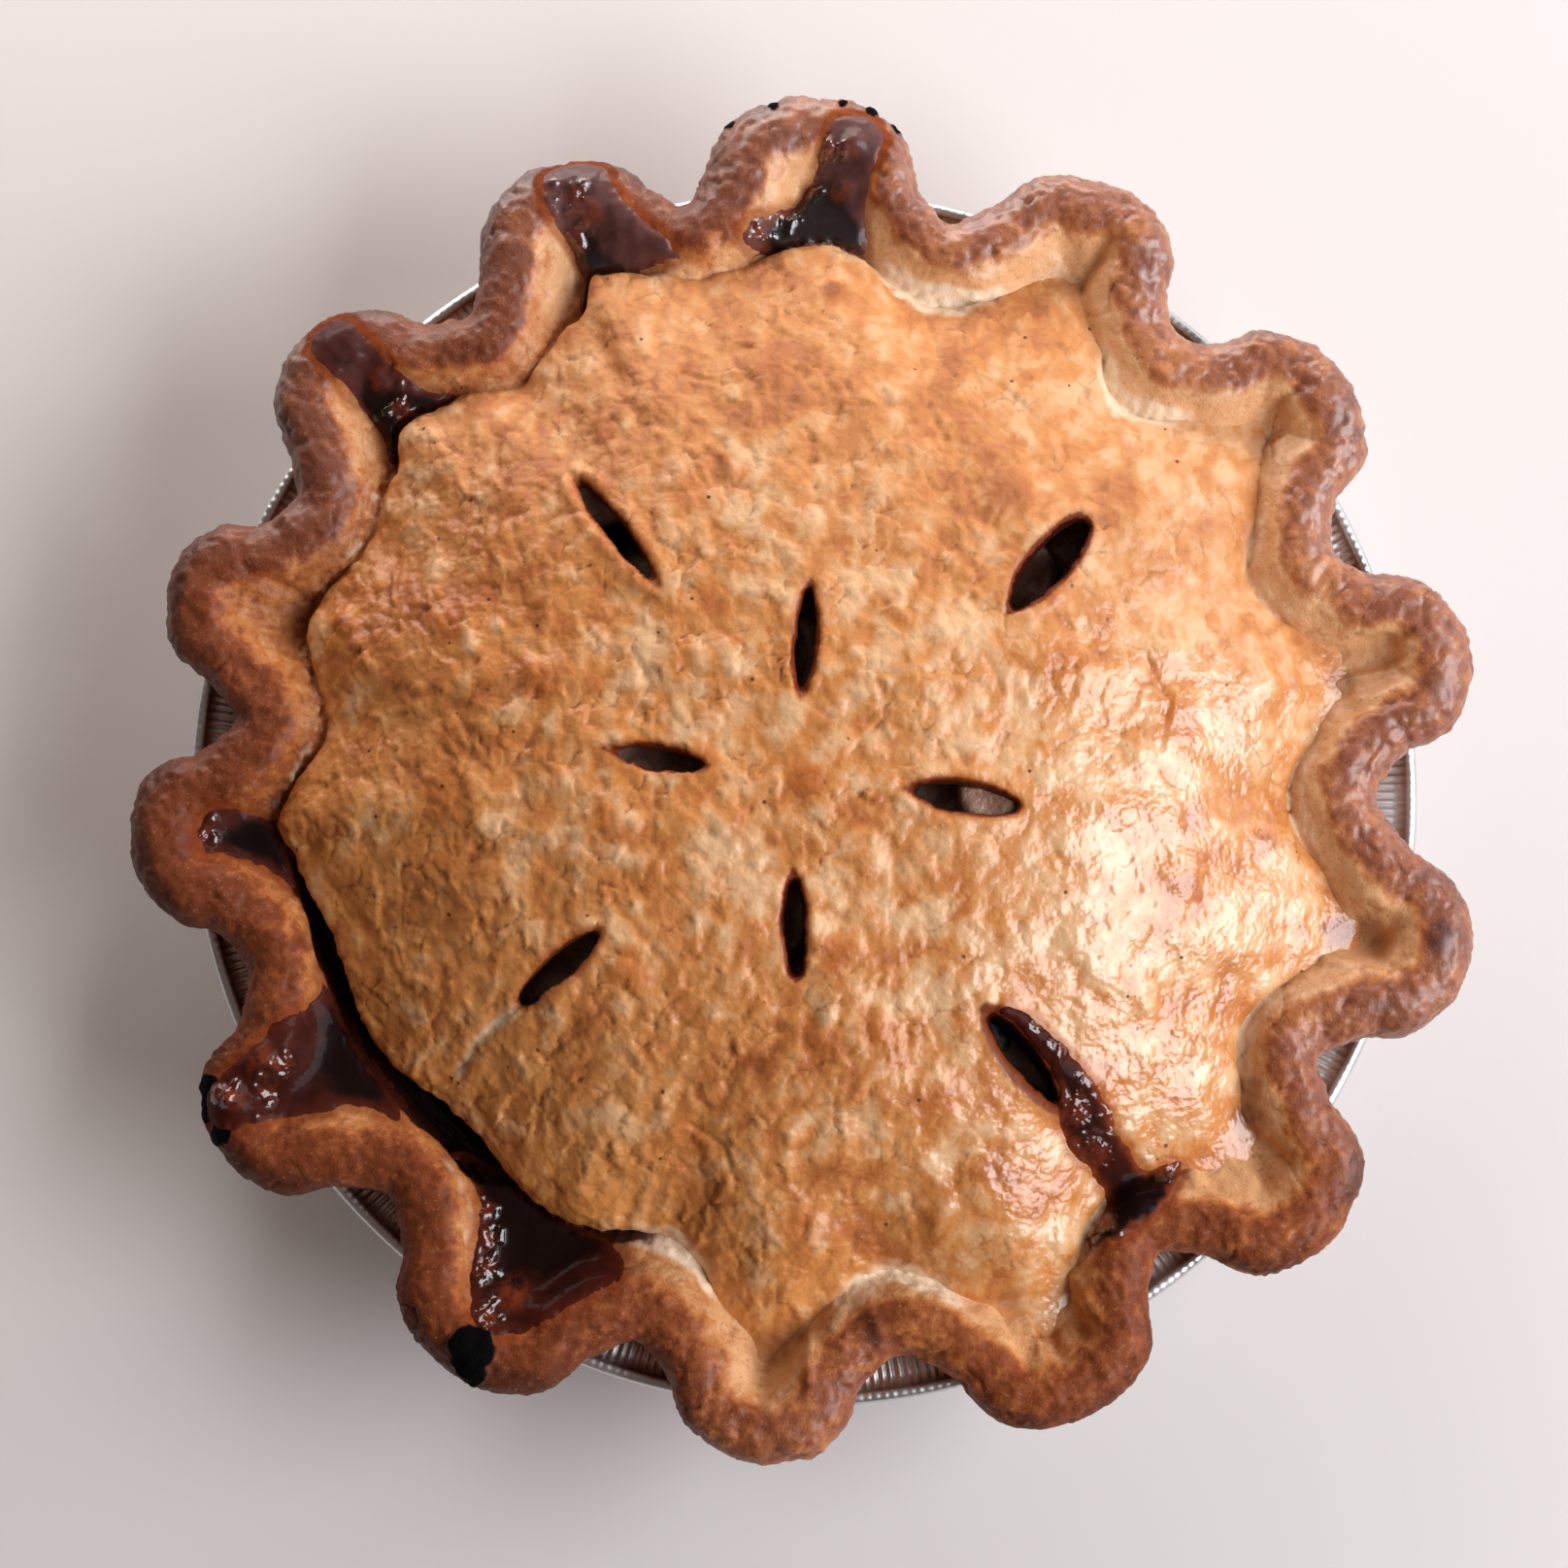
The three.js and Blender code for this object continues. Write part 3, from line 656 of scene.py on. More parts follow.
# On the same side the scorch reaches further in and grows: partly scorch, partly painted shade.
scorch = smooth(side, -0.5 - 1.5 * baked, 5.5) * smooth(reach, 103, 119)
scorch *= (0.02 + 0.55 * baked + 0.75 * patchy) * (1 + 2.5 * np.minimum(uneven, 0))
scorched_patch = smooth(patchy + 0.5 * streaky, 1.05 - 0.15 * baked, 1.4) * crest
scorch = np.maximum(scorch, (0.55 + 0.35 * baked) * scorched_patch)
shine = round_the_pie(EGGED, angle) * (0.55 + 0.45 * smooth(side, -3, 2))
print("toast on the rim", toast.mean().round(2), "and scorch", scorch.mean().round(2), "on average")

# %% Pale dough on the rim
# It shows in the waists beside the lid, in a crumbly strip outside it, and on the lip above the tear.
raw = (1 - smooth(beyond + 2.2 * (streaky - 0.5), 1.2, 4.2)) * (1 - smooth(mouth_share(angle), 0.25, 0.8))
raw *= round_the_pie(PALE_WAISTS, angle) * (1 - smooth(beyond, 6, 8))
strip = smooth(beyond, -0.4, 0.4) * (1 - smooth(beyond + 1.2 * (streaky - 0.5), 1.2, 2.8))
strip *= round_the_pie(PALE_STRIP, angle)
raw = np.maximum(raw, 0.6 * strip * smooth(streaky, 0.35, 0.8))
lip = smooth(-side, 4.2, 5.4) * (1 - smooth(-side, 6.4, 7.6)) * smooth(points[:, 2], 36.5, 38)
raw = np.maximum(raw, 0.5 * streaky * lip * round_the_pie(PALE_LIP, angle))
crumbs = 0.55 - cobbles(points, 1.5, 23)[0]
crumbled = raw * (0.4 * rolling(points, 1.7, 22) + 0.3 * pebbles) + strip * (0.3 + 1.8 * crumbs)
write_points(rim, points + normals * (relief + crumbled)[:, None])
paint(rim, toast=toast, scorch=scorch, raw=raw, char=char, baked=baked, shine=shine)
print("pale dough on", round(100 * np.mean(raw > 0.3), 1), "% of the rim's points")

# %% [markdown]
# ## The lid
#
# The lid is a disc of dough that sank between the lobes and rose over the apples. It is a dome with
# a scalloped edge. On the left it has come away from the rim, and its cut edge shows. On the right
# it was pressed into the lobes, so there a tongue of it runs down into each scoop.
# The steam slits are cut out of the solid, and the remesh then rounds their rims as baking does.

# %% The dome
DOME_POWER = 2.7
MEAN_EDGE = 94.0
LID_EDGE_TOP = LID_BOTTOM + 3.5
CROWN = LID_TOP - 0.6
LID_THICKNESS = 3.8
TONGUE = 7.5
DOME_BLEND = 2.2


def swell(x, y):
    """Low swells of the rolled dough, from -1 to 1."""
    return (0.6 * np.sin(x / 13 + 0.7) * np.cos(y / 11 - 1.1)
            + 0.4 * np.sin((x + y) / 7.1 + 2.3) * np.sin((x - 0.6 * y) / 6.3))


def lid_height(points):
    """Height of the lid's upper face."""
    angle, reach = polar(points)
    edge = lid_edge(angle)
    scalloped = MEAN_EDGE + (edge - MEAN_EDGE) * smooth(reach / edge, 0.5, 1)
    out = np.minimum(reach / scalloped, 1.15)
    tongue = tongue_share(angle)
    foot = LID_EDGE_TOP - 1.6 * tongue
    dome = foot + (CROWN - foot) * (1 - out**DOME_POWER)
    dome += 0.9 * swell(points[:, 0], points[:, 1]) * smooth(1 - out, 0, 0.15)
    floor = SCOOP_FLOOR + 0.9 - 1.7 * smooth(reach - edge, 2, TONGUE + 1)
    floor += SCOOP_RISE * smooth(reach - edge, 5, 18)
    meeting = np.maximum(DOME_BLEND - np.abs(dome - floor), 0) ** 2 / (4 * DOME_BLEND)
    flared = np.maximum(dome, floor) + meeting
    return dome + tongue * (flared - dome)


print("height of the dome at its middle", lid_height(np.array([[0.0, 0.0]])).round(1), "mm")

# %% Slits
# A slit: its two ends, its width, and how round each end is, from 0.5 (round) to 1 (a point). Then how
# high its lip stands and how much higher at its start, and how dark syrup stained it, from where to where.
Slit = namedtuple("Slit", "start end width round_start round_end lip lean stain stain_from stain_to")
SLITS = [
    Slit((-40.5, 52), (-25.5, 31.5), 4.4, 0.4, 0.7, 1.0, 0.3, 0.4, 0, 0.7),
    Slit((1, 32.5), (-0.7, 11.5), 4.5, 0.65, 0.8, 0.35, 0, 0.5, 0, 0.7),
    Slit((50, 45), (35.5, 27), 7.8, 0.42, 0.8, 0.6, 0.3, 1, 0, 0.7),
    Slit((-35, 2.8), (-16.5, -0.5), 4.7, 0.9, 0.5, 0.3, 0, 0.6, 0, 0.7),
    Slit((17, -4.3), (37.5, -7.4), 6.0, 0.7, 0.5, 0.4, 0, 0.7, 0, 0.7),
    Slit((-50.5, -41.5), (-35, -28.5), 6.0, 0.45, 0.6, 0.4, 0, 0.4, 0, 0.7),
    Slit((-2, -18.5), (-1.5, -37.5), 4.6, 1.0, 0.5, 0.3, 0, 0.8, 0, 0.7),
    Slit((31.6, -42.4), (44.6, -58.8), 5.4, 0.5, 0.7, 0.5, 0, 1, 0.4, 2.4),
]


def slit_frame(slit):
    """A slit's middle, half length and unit directions along and across it."""
    start, end = np.array(slit.start, float), np.array(slit.end, float)
    half = np.linalg.norm(end - start) / 2
    forward = (end - start) / (2 * half)
    return (start + end) / 2, half, forward, np.array([-forward[1], forward[0]])


def half_width(slit, share):
    """Half the width of a slit, from -1 at its start to 1 at its end."""
    share = np.clip(share, -1, 1)
    roundness = slit.round_start + (slit.round_end - slit.round_start) * (share + 1) / 2
    return slit.width / 2 * (1 - share**2) ** roundness


def from_slit(points, slit):
    """Distance of points from a slit's outline, just below zero inside it, and how far along they lie."""
    middle, half, forward, across = slit_frame(slit)
    away = points[:, :2] - middle
    share = away @ forward / half
    beyond = np.maximum(np.abs(share) - 1, 0) * half
    return np.hypot(np.maximum(np.abs(away @ across) - half_width(slit, share), 0), beyond) - 0.01, share


def slit_cutter(slit):
    """A plug of a slit, which widens upwards and follows the dome."""
    middle, half, forward, across = slit_frame(slit)
    share = -np.cos(np.linspace(0, np.pi, 22))
    there, back = (np.stack([share * half, side * half_width(slit, share)], -1) for side in (-1, 1))
    loop = np.concatenate([there, back[-2:0:-1]])
    rings = []
    for above, spread in ((-LID_THICKNESS - 3, 0.45), (0.4, 1), (4, 1.2)):
        flat = middle + loop[:, :1] * forward * (0.6 + 0.4 * spread) + loop[:, 1:] * across * spread
        flat += 0.35 * rolling(flat, 2.4, 29)[:, None] * across
        rings.append(lifted(flat, lid_height(flat) + above))
    ends = np.arange(len(loop))
    faces = [grid_faces(3, len(loop), close_columns=True)[:, ::-1], [ends[::-1]], [ends + 2 * len(loop)]]
    return np.vstack(rings), faces


print("slits of", [round(2 * slit_frame(slit)[1], 1) for slit in SLITS], "mm")

# %% The lid's solid, slit and remeshed
# How far the lid's edge crumbles in and out at some angles, and how far it drew back.
CRUMBLING = [(10, 0.25), (45, 0.5), (90, 0.5), (110, 0.8), (250, 0.8), (285, 0.4), (310, 0.2)]
DRAWN_BACK = [(98, 0), (112, 0.7), (180, 0.8), (187, 0)]
LID_VOXEL = 0.62
LID_KEPT = 0.56


def make_lid():
    """The lid before it is slit: the dome, its edge and its lower face."""
    angle = np.linspace(0, 360, 720, endpoint=False)[:, None]
    edge = lid_edge(angle) + TONGUE * tongue_share(angle)
    edge += rolling(at_polar(angle[:, 0], 40), 0.75, 30)[:, None] * round_the_pie(CRUMBLING, angle)
    edge -= round_the_pie(DRAWN_BACK, angle)
    top_xy = at_polar(angle, edge * np.linspace(0.004, 1, 96))
    under_xy = at_polar(angle, edge * np.linspace(1, 0.004, 40))
    top = lifted(top_xy, surface_height(top_xy, lid_height))
    seat = LID_BOTTOM - 3.2 * tongue_share(angle)
    under = lifted(under_xy, np.maximum(surface_height(under_xy, lid_height) - LID_THICKNESS, seat))
    top[:, -1, 2] -= 1.0
    under[:, 0, 2] += 0.9
    return turned(np.concatenate([top, under], 1))


lid = add_piece("slit_lid", *make_lid())
cutter = add_piece("slit_cutter", *joined([slit_cutter(slit) for slit in SLITS]))
modify(lid, "BOOLEAN", object=cutter, operation="DIFFERENCE", solver="EXACT")
bpy.data.objects.remove(cutter)
modify(lid, "REMESH", mode="VOXEL", voxel_size=LID_VOXEL * MM)
modify(lid, "SMOOTH", factor=0.5, iterations=5)
points, normals = read_points(lid)
thin_out(lid, normals[:, 2] < -0.35, LID_KEPT)
print("lid", len(lid.data.polygons), "faces")

# %% [markdown]
# ## Relief of the lid
#
# The lid's skin shows how it was rolled and baked. Swells and bulges are 10 to 25 mm across, puffs and
# flakes are 2 to 5 mm across, and thin creases run between some of them. Each is a layer of noise of
# that size. On the right a thick egg wash filled the flakes, so they are lower there. Blisters, brown
# and pale spots and cracks that a guest would notice are placed one by one.

# %% Cracks and browned spots
# A crack or valley: its half width, its depth, and the points (x, y) that it runs through.
CRACKS = [
    (0.5, 0.55, [(22, 85), (24.5, 76), (21.5, 67), (25, 58)]),
    (0.45, 0.5, [(-1, 62), (4, 55), (1.5, 50), (3, 44)]),
    (0.45, 0.45, [(-22, 72), (-15, 69), (-9, 70)]),
    (0.5, 0.5, [(-30, 20), (-27, 14), (-30, 8)]),
    (0.45, 0.45, [(8, 2), (14, 8), (13, 14)]),
    (1.2, 0.7, [(-50.5, -42), (-57, -47), (-61, -52.5)]),
    (0.5, 0.5, [(-20, -62), (-14, -66), (-12, -73)]),
    (0.45, 0.4, [(60, 20), (64, 12), (62, 4)]),
    (0.5, 0.45, [(-62, 12), (-58, 4), (-61, -6)]),
    (0.45, 0.4, [(35, 70), (41, 64), (40, 56)]),
]
# How much pale dough the lid's edge shows in the waists, at some angles.
PALE_EDGE = [
    (18, 0.15), (42, 0.85), (78, 0.85), (100, 0.25), (180, 0.2), (245, 0.3), (255, 0.6), (290, 0.6),
    (305, 0.1),
]
# A blister: its middle (x, y), its radius, how far it rises and how brown it is, or how pale below zero.
BLISTERS = [
    (5, 88, 3.2, 0.5, 1.0), (-5, 73, 6.0, 0.4, 0.5), (36, 48.5, 6.0, 0.9, 0.75), (-35, 61, 3.6, 0.5, 0.5),
    (-82, 28, 3.4, 1.0, 0.9), (0, -3, 5.0, 0.2, 0.55), (-62, -5, 9.0, 0.4, 0.45), (-57, -22, 9.0, 0.5, 0.3),
    (-51, 50, 8.0, 0.3, 0.45), (-20, 50, 7.0, 0.3, 0.4), (51, 29, 7.0, 0.3, 0.4), (14, -48, 7.0, 0.3, 0.5),
    (-17, 1, 6.0, 0.2, 0.4), (6, -33, 6.0, 0.2, 0.45), (1, -80, 7.0, 0.3, 0.45), (22, -58, 7.0, 0.3, 0.45),
    (-61, 29, 8.0, 0.3, 0.45), (-50, -68, 6.0, 0.2, 0.1), (54, -66, 6.0, 0.2, 0.4), (46, -72, 5.0, 0.2, 0.4),
    (52, -54, 6.0, 0.2, 0.45), (-64, -14, 8.0, 0.2, 0.4), (-61, -38, 6.0, 0.2, 0.3), (26, 24, 7.0, 0.2, -0.4),
    (40, -74, 6.0, 0.2, 0.45), (-11, 80, 7.0, 0.2, 0.3), (-48, 52, 8.0, 0.2, 0.4), (-78, 34, 6.0, 0.2, 0.35),
    (28, 58, 7.0, 0.1, -0.5), (38, 2, 7.0, 0.1, -0.7), (19, 42, 6.0, 0.1, -0.4), (49, 56, 7.0, 0.1, -0.5),
    (-27, 80, 6.0, 0.1, -0.5), (66, -33, 7.0, 0.1, -0.5), (-40, 75, 6.0, 0.1, -0.5), (15, 80, 6.0, 0.1, -0.5),
    (12, 15, 9.0, 0.2, -1.0), (4, -12, 7.0, 0.1, -0.6), (22, -28, 8.0, 0.2, -0.6), (-60, -42, 7.0, 0.2, -0.2),
    (15, -77, 6.0, 0.2, -0.5), (-58, -60, 6.0, 0.2, -0.2), (30, -14, 7.0, 0.1, -0.5),
    (-18, -16, 8.0, 0.1, -0.5), (-30, 22, 7.0, 0.1, -0.4), (8, -22, 6.0, 0.1, -0.5),
    (-48, -31, 6.0, 0.1, -0.4), (-12, 20, 6.0, 0.1, -0.4), (-34, -10, 6.5, 0.3, 0.5),
    (-38, -42, 6.0, 0.5, 0.15), (-21, -64, 7.0, 0.5, 0.55), (-30, -35, 5.5, 0.3, 0.5),
    (66, 8, 7.0, 0.5, 0.5), (44, 18, 6.0, 0.4, 0.4), (3, -50, 7.5, 0.3, 0.35), (-15, 54, 6.0, 0.3, 0.35),
    (75, -42, 6.5, 0.3, 0.4), (30, 62, 6.0, 0.3, 0.4), (-55, 40, 6.0, 0.3, 0.4), (22, -75, 7.0, 0.3, 0.4),
    (-12, 37, 5.0, 0.3, 0.3), (58, -20, 6.0, 0.2, 0.35), (-47, 16, 6.0, 0.3, 0.35), (15, 29, 4.5, 0.2, 0.3),
]


def from_line(points, line):
    """Distance of points from a broken line of (x, y) points."""
    nearest = np.full(len(points), 1e3)
    for start, end in zip(np.array(line[:-1], float), np.array(line[1:], float)):
        run = end - start
        share = np.clip((points[:, :2] - start) @ run / (run @ run), 0, 1)
        nearest = np.minimum(nearest, np.linalg.norm(points[:, :2] - start - share[:, None] * run, axis=1))
    return nearest


print(len(CRACKS), "cracks and", len(BLISTERS), "blisters and spots")

# %% Flakes, bulges and creases of the lid
points, normals = read_points(lid)
angle, reach = polar(points)
flat = points[:, :2]
upper = smooth(normals[:, 2], 0.1, 0.55)
warp = np.stack([rolling(flat, 13, 31), rolling(flat, 13, 32)], -1) * 1.6
scallops = 0.65 * np.stack([rolling(flat, 2.8, 37), rolling(flat, 2.8, 38)], -1)
scallops += 0.35 * np.stack([rolling(flat, 1.4, 50), rolling(flat, 1.4, 51)], -1)
rolled = (flat + warp + scallops) * [1, 0.8]
near, _, _, chance = cobbles(flat + warp, 11, 33)
bulges = (1 - smooth(near, 0.08, 0.55)) * smooth(chance, 0.35, 0.7)
flakes = 0.75 * plates(rolled, 4.4, 34) + 0.4 * plates(rolled, 2.4, 48)
puffed = wrinkles(rolled, 5.2, 52) + 0.45 * wrinkles(rolled, 2.6, 53)
# The egg wash lies thick on the right, along a line that leans a little. The same mask pales the
# crust there, partly as painted sheen.
washed = smooth(0.97 * flat[:, 0] - 0.26 * flat[:, 1], 12, 62) * (0.75 + 0.25 * rolling(flat, 16, 54))
near, next_near, _, chance = cobbles(rolled, 4.4, 35)
creases = (1 - smooth(next_near - near, 0.0, 0.15)) * smooth(rolling(flat, 8, 39), -0.15, 0.35)
pits = 0.46 - cobbles(rolled, 1.7, 36)[0]
grain = 0.56 * flakes + 0.26 * puffed - 0.34 * creases + 0.06 * pits
grain *= 1 - 0.85 * washed
broad = 0.55 * rolling(flat, 24, 42) + 0.5 * bulges + 0.3 * rolling(flat, 9, 43)
print("grain of the lid", grain.min().round(2), "to", grain.max().round(2), "mm")

# %% Blisters, cracks and the slits' lips
blister, brown, fair, valley, pale, lip, rimmed, glazed = np.zeros((8, len(points)))
ragged = 0.3 * rolling(flat, 5, 44) + 0.15 * rolling(flat, 2, 45)
for x, y, radius, rise, tone in BLISTERS:
    inside = 1 - smooth(np.hypot(flat[:, 0] - x, flat[:, 1] - y) / radius + ragged, 0.25, 1.0)
    blister += rise * inside
    brown = np.maximum(brown, tone * inside)
    fair = np.maximum(fair, -tone * inside)
for half, depth, line in CRACKS:
    lying = np.exp(-((from_line(points + 0.8 * ragged[:, None], line) / half) ** 2))
    valley = np.maximum(valley, depth * lying)
    pale = np.maximum(pale, lying * (0.75 if half > 1 else 0.2))
for slit in SLITS:
    gap, share = from_slit(points, slit)
    lip += slit.lip * np.exp(-(((gap - 1.2) / 1.5) ** 2)) * (0.7 - slit.lean * share)
    rimmed = np.maximum(rimmed, 1 - smooth(gap + 0.5 * ragged, 0.1, 1.5))
    stained = 1 - smooth(gap + 0.4 * ragged, slit.stain_from, slit.stain_to)
    glazed = np.maximum(glazed, slit.stain * stained)
relief = (grain * smooth(reach, 0, 6) + broad + blister - valley + lip) * upper
relief *= 1 - 0.6 * smooth(reach - lid_edge(angle), -2, 2)
write_points(lid, points + normals * relief[:, None])
print("relief of the lid", relief.min().round(2), "to", relief.max().round(2), "mm")

# %% Browning of the lid
inwards = lid_edge(angle) - reach
waist_side = 1 - smooth(mouth_share(angle), 0.15, 0.75)
patchy = 0.5 + 0.5 * rolling(flat, 19, 46)
mottled = 0.5 + 0.5 * rolling(flat, 6, 47)
toast = 0.36 + 0.5 * (patchy - 0.5) + 0.5 * (mottled - 0.5) + 0.12 * (chance - 0.5) - 0.2 * puffed
# On the right the crust is paler where the wash is thick: partly the wash, partly painted sheen.
toast += 0.15 * smooth(reach, 25, 80) + 0.4 * brown - 0.33 * fair - 0.22 * washed
toast -= 0.04 * smooth(-flat[:, 0] - flat[:, 1], 60, 110)
toast -= 0.06 * smooth(flat[:, 1], 25, 80)
# The lid is almost dry towards the top. Towards the lower left, which lies in shade, it is painted
# a lighter, warmer gold: painted fill light.
matt = smooth(flat[:, 1] + 0.2 * flat[:, 0], 20, 60)
warm = smooth(-0.8 * flat[:, 0] - 0.6 * flat[:, 1], 30, 75)
streaky = 0.5 + 0.5 * rolling(points, 2.4, 49)
raw = waist_side * (1 - smooth(inwards + 2.4 * (streaky - 0.5), 0.4, 3.4))
raw *= round_the_pie(PALE_EDGE, angle)
raw = np.maximum(raw, pale * (0.35 + 0.65 * streaky))
walls = 1 - smooth(normals[:, 2], 0.35, 0.8)
paint(lid, toast=toast - 0.3 * pale, brown=np.maximum(brown, 0.8 * rimmed), raw=raw,
      stain=glazed * np.maximum(walls, 0.55), washed=washed, matt=matt, warm=warm, crease=creases * upper)
print("toast on the lid", toast.mean().round(2), "on average")

# %% [markdown]
# ## The filling
#
# Stewed apple shows through the slits and in the tear. Under the lid it is one wet mass that has sunk
# a little below each slit, so a core with hollows is enough there. Its colour is almost black: dark
# filling, and painted shade for the hollows under the lid. The slices that can be seen are modelled
# one by one, as bent wedges with soft edges, and lie across their slits.

# %% The core of the filling
FILLING_BOTTOM = corners("apple_filling")[0][2]
FILLING_SINK = 13.0


def make_filling():
    """The filling from the bottom crust up to the lid, hollow below the slits, sunk along the tear."""
    angle = np.linspace(0, 360, 240, endpoint=False)[:, None]
    inner = sheet_inner(angle) - 0.4
    share = np.linspace(1, 0.004, 90)
    xy = at_polar(angle, np.minimum(inner, 91) * share)
    flat = xy.reshape(-1, 2)
    nearest_slit = np.min([from_slit(flat, slit)[0] for slit in SLITS], axis=0)
    height = np.maximum(lid_height(flat) - LID_THICKNESS, LID_BOTTOM) - 1.0
    height -= FILLING_SINK * (1 - smooth(nearest_slit, 3, 12))
    height += 0.7 * rolling(flat, 9, 61) + 0.3 * rolling(flat, 3.5, 62)
    height = height.reshape(xy.shape[:2]) - 12 * torn_share(angle) * smooth(share, 0.86, 1.0)
    wall = [lifted(at_polar(angle, np.minimum(inner, reach)), z)
            for reach, z in ((0.4, FILLING_BOTTOM), (76, FILLING_BOTTOM + 1.4), (90, 27))]
    return turned(np.concatenate(wall + [lifted(xy, height)], 1))


filling = add_piece("stewed_filling", *make_filling())
print("filling", len(filling.data.polygons), "faces")

# %% Slices of apple
# A slice: its middle (x, y), how deep it lies, length, width, thickness, turn and lean in degrees.
SLICES = [
    (-38.5, 50.0, 5.0, 14, 9, 7, -48, 18), (-28, 35, 12, 20, 12, 7, 20, -10),
    (1, 17, 11.5, 20, 11, 8, 70, 12), (0, 31, 12.5, 18, 10, 7, -20, 0),
    (38.5, 31.5, 11.5, 20, 11, 8, 42, -14), (49, 43, 14.0, 22, 12, 8, -30, 10),
    (-25, 1.0, 9.0, 24, 12, 8, -10, 6),
    (34.5, -7.2, 1.8, 17, 12, 7, -12, 8), (24, -5, 9.5, 15, 10, 7, 50, -12),
    (-43, -35, 12.5, 22, 12, 8, 35, 10),
    (-1.5, -25, 11.5, 18, 10, 7, 80, 8), (-2, -36, 14.0, 16, 10, 7, 10, 0),
    (37, -49, 17.0, 22, 11, 8, -50, 12), (44, -57, 17.0, 16, 10, 7, 10, 0),
]


def make_slice(seed, x, y, depth, length, width, thick, turn, lean):
    """One bent wedge of apple with soft edges and a slightly furrowed skin side."""
    down = np.linspace(-np.pi / 2, np.pi / 2, 20)[:, None]
    around = np.linspace(0, 2 * np.pi, 34, endpoint=False)
    body = squared(np.cos(down), 0.55)
    lengthwise = squared(np.sin(down), 0.8) * np.ones_like(around)
    across = body * squared(np.cos(around), 0.7)
    rise = body * squared(np.sin(around), 0.75) * (1 - 0.35 * across)
    points = np.stack([lengthwise, across, rise], -1).reshape(-1, 3) * [length / 2, width / 2, thick / 2]
    points[:, 1] += 0.22 * length * (2 * points[:, 0] / length) ** 2
    points += 0.45 * rolling(points + 50 * seed, 6, 63)[:, None] * [0, 1, 1]
    points[:, 2] += 0.14 * np.sin(points[:, 1] * 3.1 + seed) + 0.12 * rolling(points + 50 * seed, 1.8, 64)
    spin = Matrix.Rotation(np.radians(turn), 3, "Z") @ Matrix.Rotation(np.radians(lean), 3, "X")
    middle = lid_height(np.array([[x, y]]))[0] - LID_THICKNESS - depth
    return points @ np.array(spin).T + [x, y, middle], [grid_faces(20, 34, close_columns=True)]


slices = add_piece("apple_slices", *joined([make_slice(seed, *row) for seed, row in enumerate(SLICES)]))
print(len(SLICES), "slices")

# %% [markdown]
# ## The syrup
#
# Apple juice and sugar boiled over the lid's edge and out of one slit, and set as dark caramel.
# It lies flat where it is deep and clings as a film to the dough's flanks, with froth along its
# margins and a few large bubbles that set as domes. A fluid simulation could pour it, but its outline
# is known, so rays dropped on the finished crust give the ground, and the syrup is laid on that
# ground, a film or a level pool, whichever is higher. Its film runs out thin at the edge.

# %% Outlines of the syrup
# A body of syrup: its node, the level it would reach, its film, and its outline as angle and reach.
SYRUPS = [
    ("syrup_pool_1", 37.8, 0.9, [
        (83.2, 97.5), (83.6, 104), (83.4, 112), (82.6, 118), (84.4, 122), (87.2, 121.4), (88.6, 115),
        (89.4, 110), (91.0, 106.2), (93.6, 103.6), (96.2, 101.5), (96.8, 98.6), (93.2, 97.0), (88.5, 97.6),
        (85.6, 97.2)]),
    ("syrup_pool_2", 37.6, 0.8, [
        (103.0, 97.4), (104.2, 102.5), (106.2, 107.5), (107.4, 113), (107.8, 118), (110.4, 121),
        (113.2, 120.2), (114.3, 116), (114.0, 110), (113.6, 105), (113.6, 100.5), (115.2, 95.8),
        (114.0, 93.4), (111, 98), (107, 98)]),
    ("syrup_pool_3", 37.6, 0.8, [
        (129.4, 93.2), (132.6, 96.6), (134.0, 101), (134.5, 108), (134.3, 114), (134.6, 118.6), (137, 120.4),
        (139.0, 118.4), (139.4, 112), (139.8, 105), (140.6, 99), (142.4, 94.8), (141, 92.6), (137, 96),
        (132, 93.6)]),
    ("syrup_pool_4", 36.6, 0.7, [
        (182.7, 106.4), (182.9, 101), (183.6, 96.5), (185.2, 94.2), (189, 92.4), (192.4, 92.6),
        (190.4, 95.6), (188.6, 99.8), (187.6, 104.6), (187.0, 108), (184.6, 108.4)]),
    ("syrup_pool_5", 36.6, 0.9, [
        (200.5, 92.2), (203.4, 94), (204.6, 98), (204.8, 102), (205.8, 107.5), (206.6, 113), (207.4, 118),
        (209.2, 121.8), (211.4, 120.6), (212.2, 116), (213.4, 110.5), (214.8, 105), (215.6, 100.5),
        (217.2, 97), (220.5, 94.2), (219, 92.2), (212, 92.2), (206, 92.0)]),
    ("syrup_pool_6", 36.4, 0.9, [
        (226.5, 91.2), (229, 91.4), (231.6, 93.4), (233.6, 97), (235, 101.5), (236, 106), (237.2, 109.6),
        (238.6, 112.2), (240.8, 112.6), (242.6, 111.4), (244, 108.4), (245.4, 104.8), (246.8, 101.2),
        (248.6, 97.6), (250.5, 93.4), (248, 88.6), (242, 88.6), (236, 87.8), (231, 88.4)]),
    ("syrup_pool_waist", 37.4, 1.0, [
        (306.4, 73.5), (305.3, 77), (305.0, 81), (305.5, 87), (305.4, 91.4), (303.4, 93.8), (300.8, 96.6),
        (302, 98.0), (305.5, 99.0), (309, 99.2), (312, 97.8), (314.8, 95.2), (313, 93.2), (311.0, 91.6),
        (311.2, 87), (311.6, 82.5), (312.6, 77.5), (313.2, 72.5), (313.4, 67), (312.8, 61.5), (311.6, 56.5),
        (309.4, 53.6), (307.9, 54.2), (308.6, 58.5), (309.0, 63.5), (308.8, 68), (307.9, 71.6)]),
]
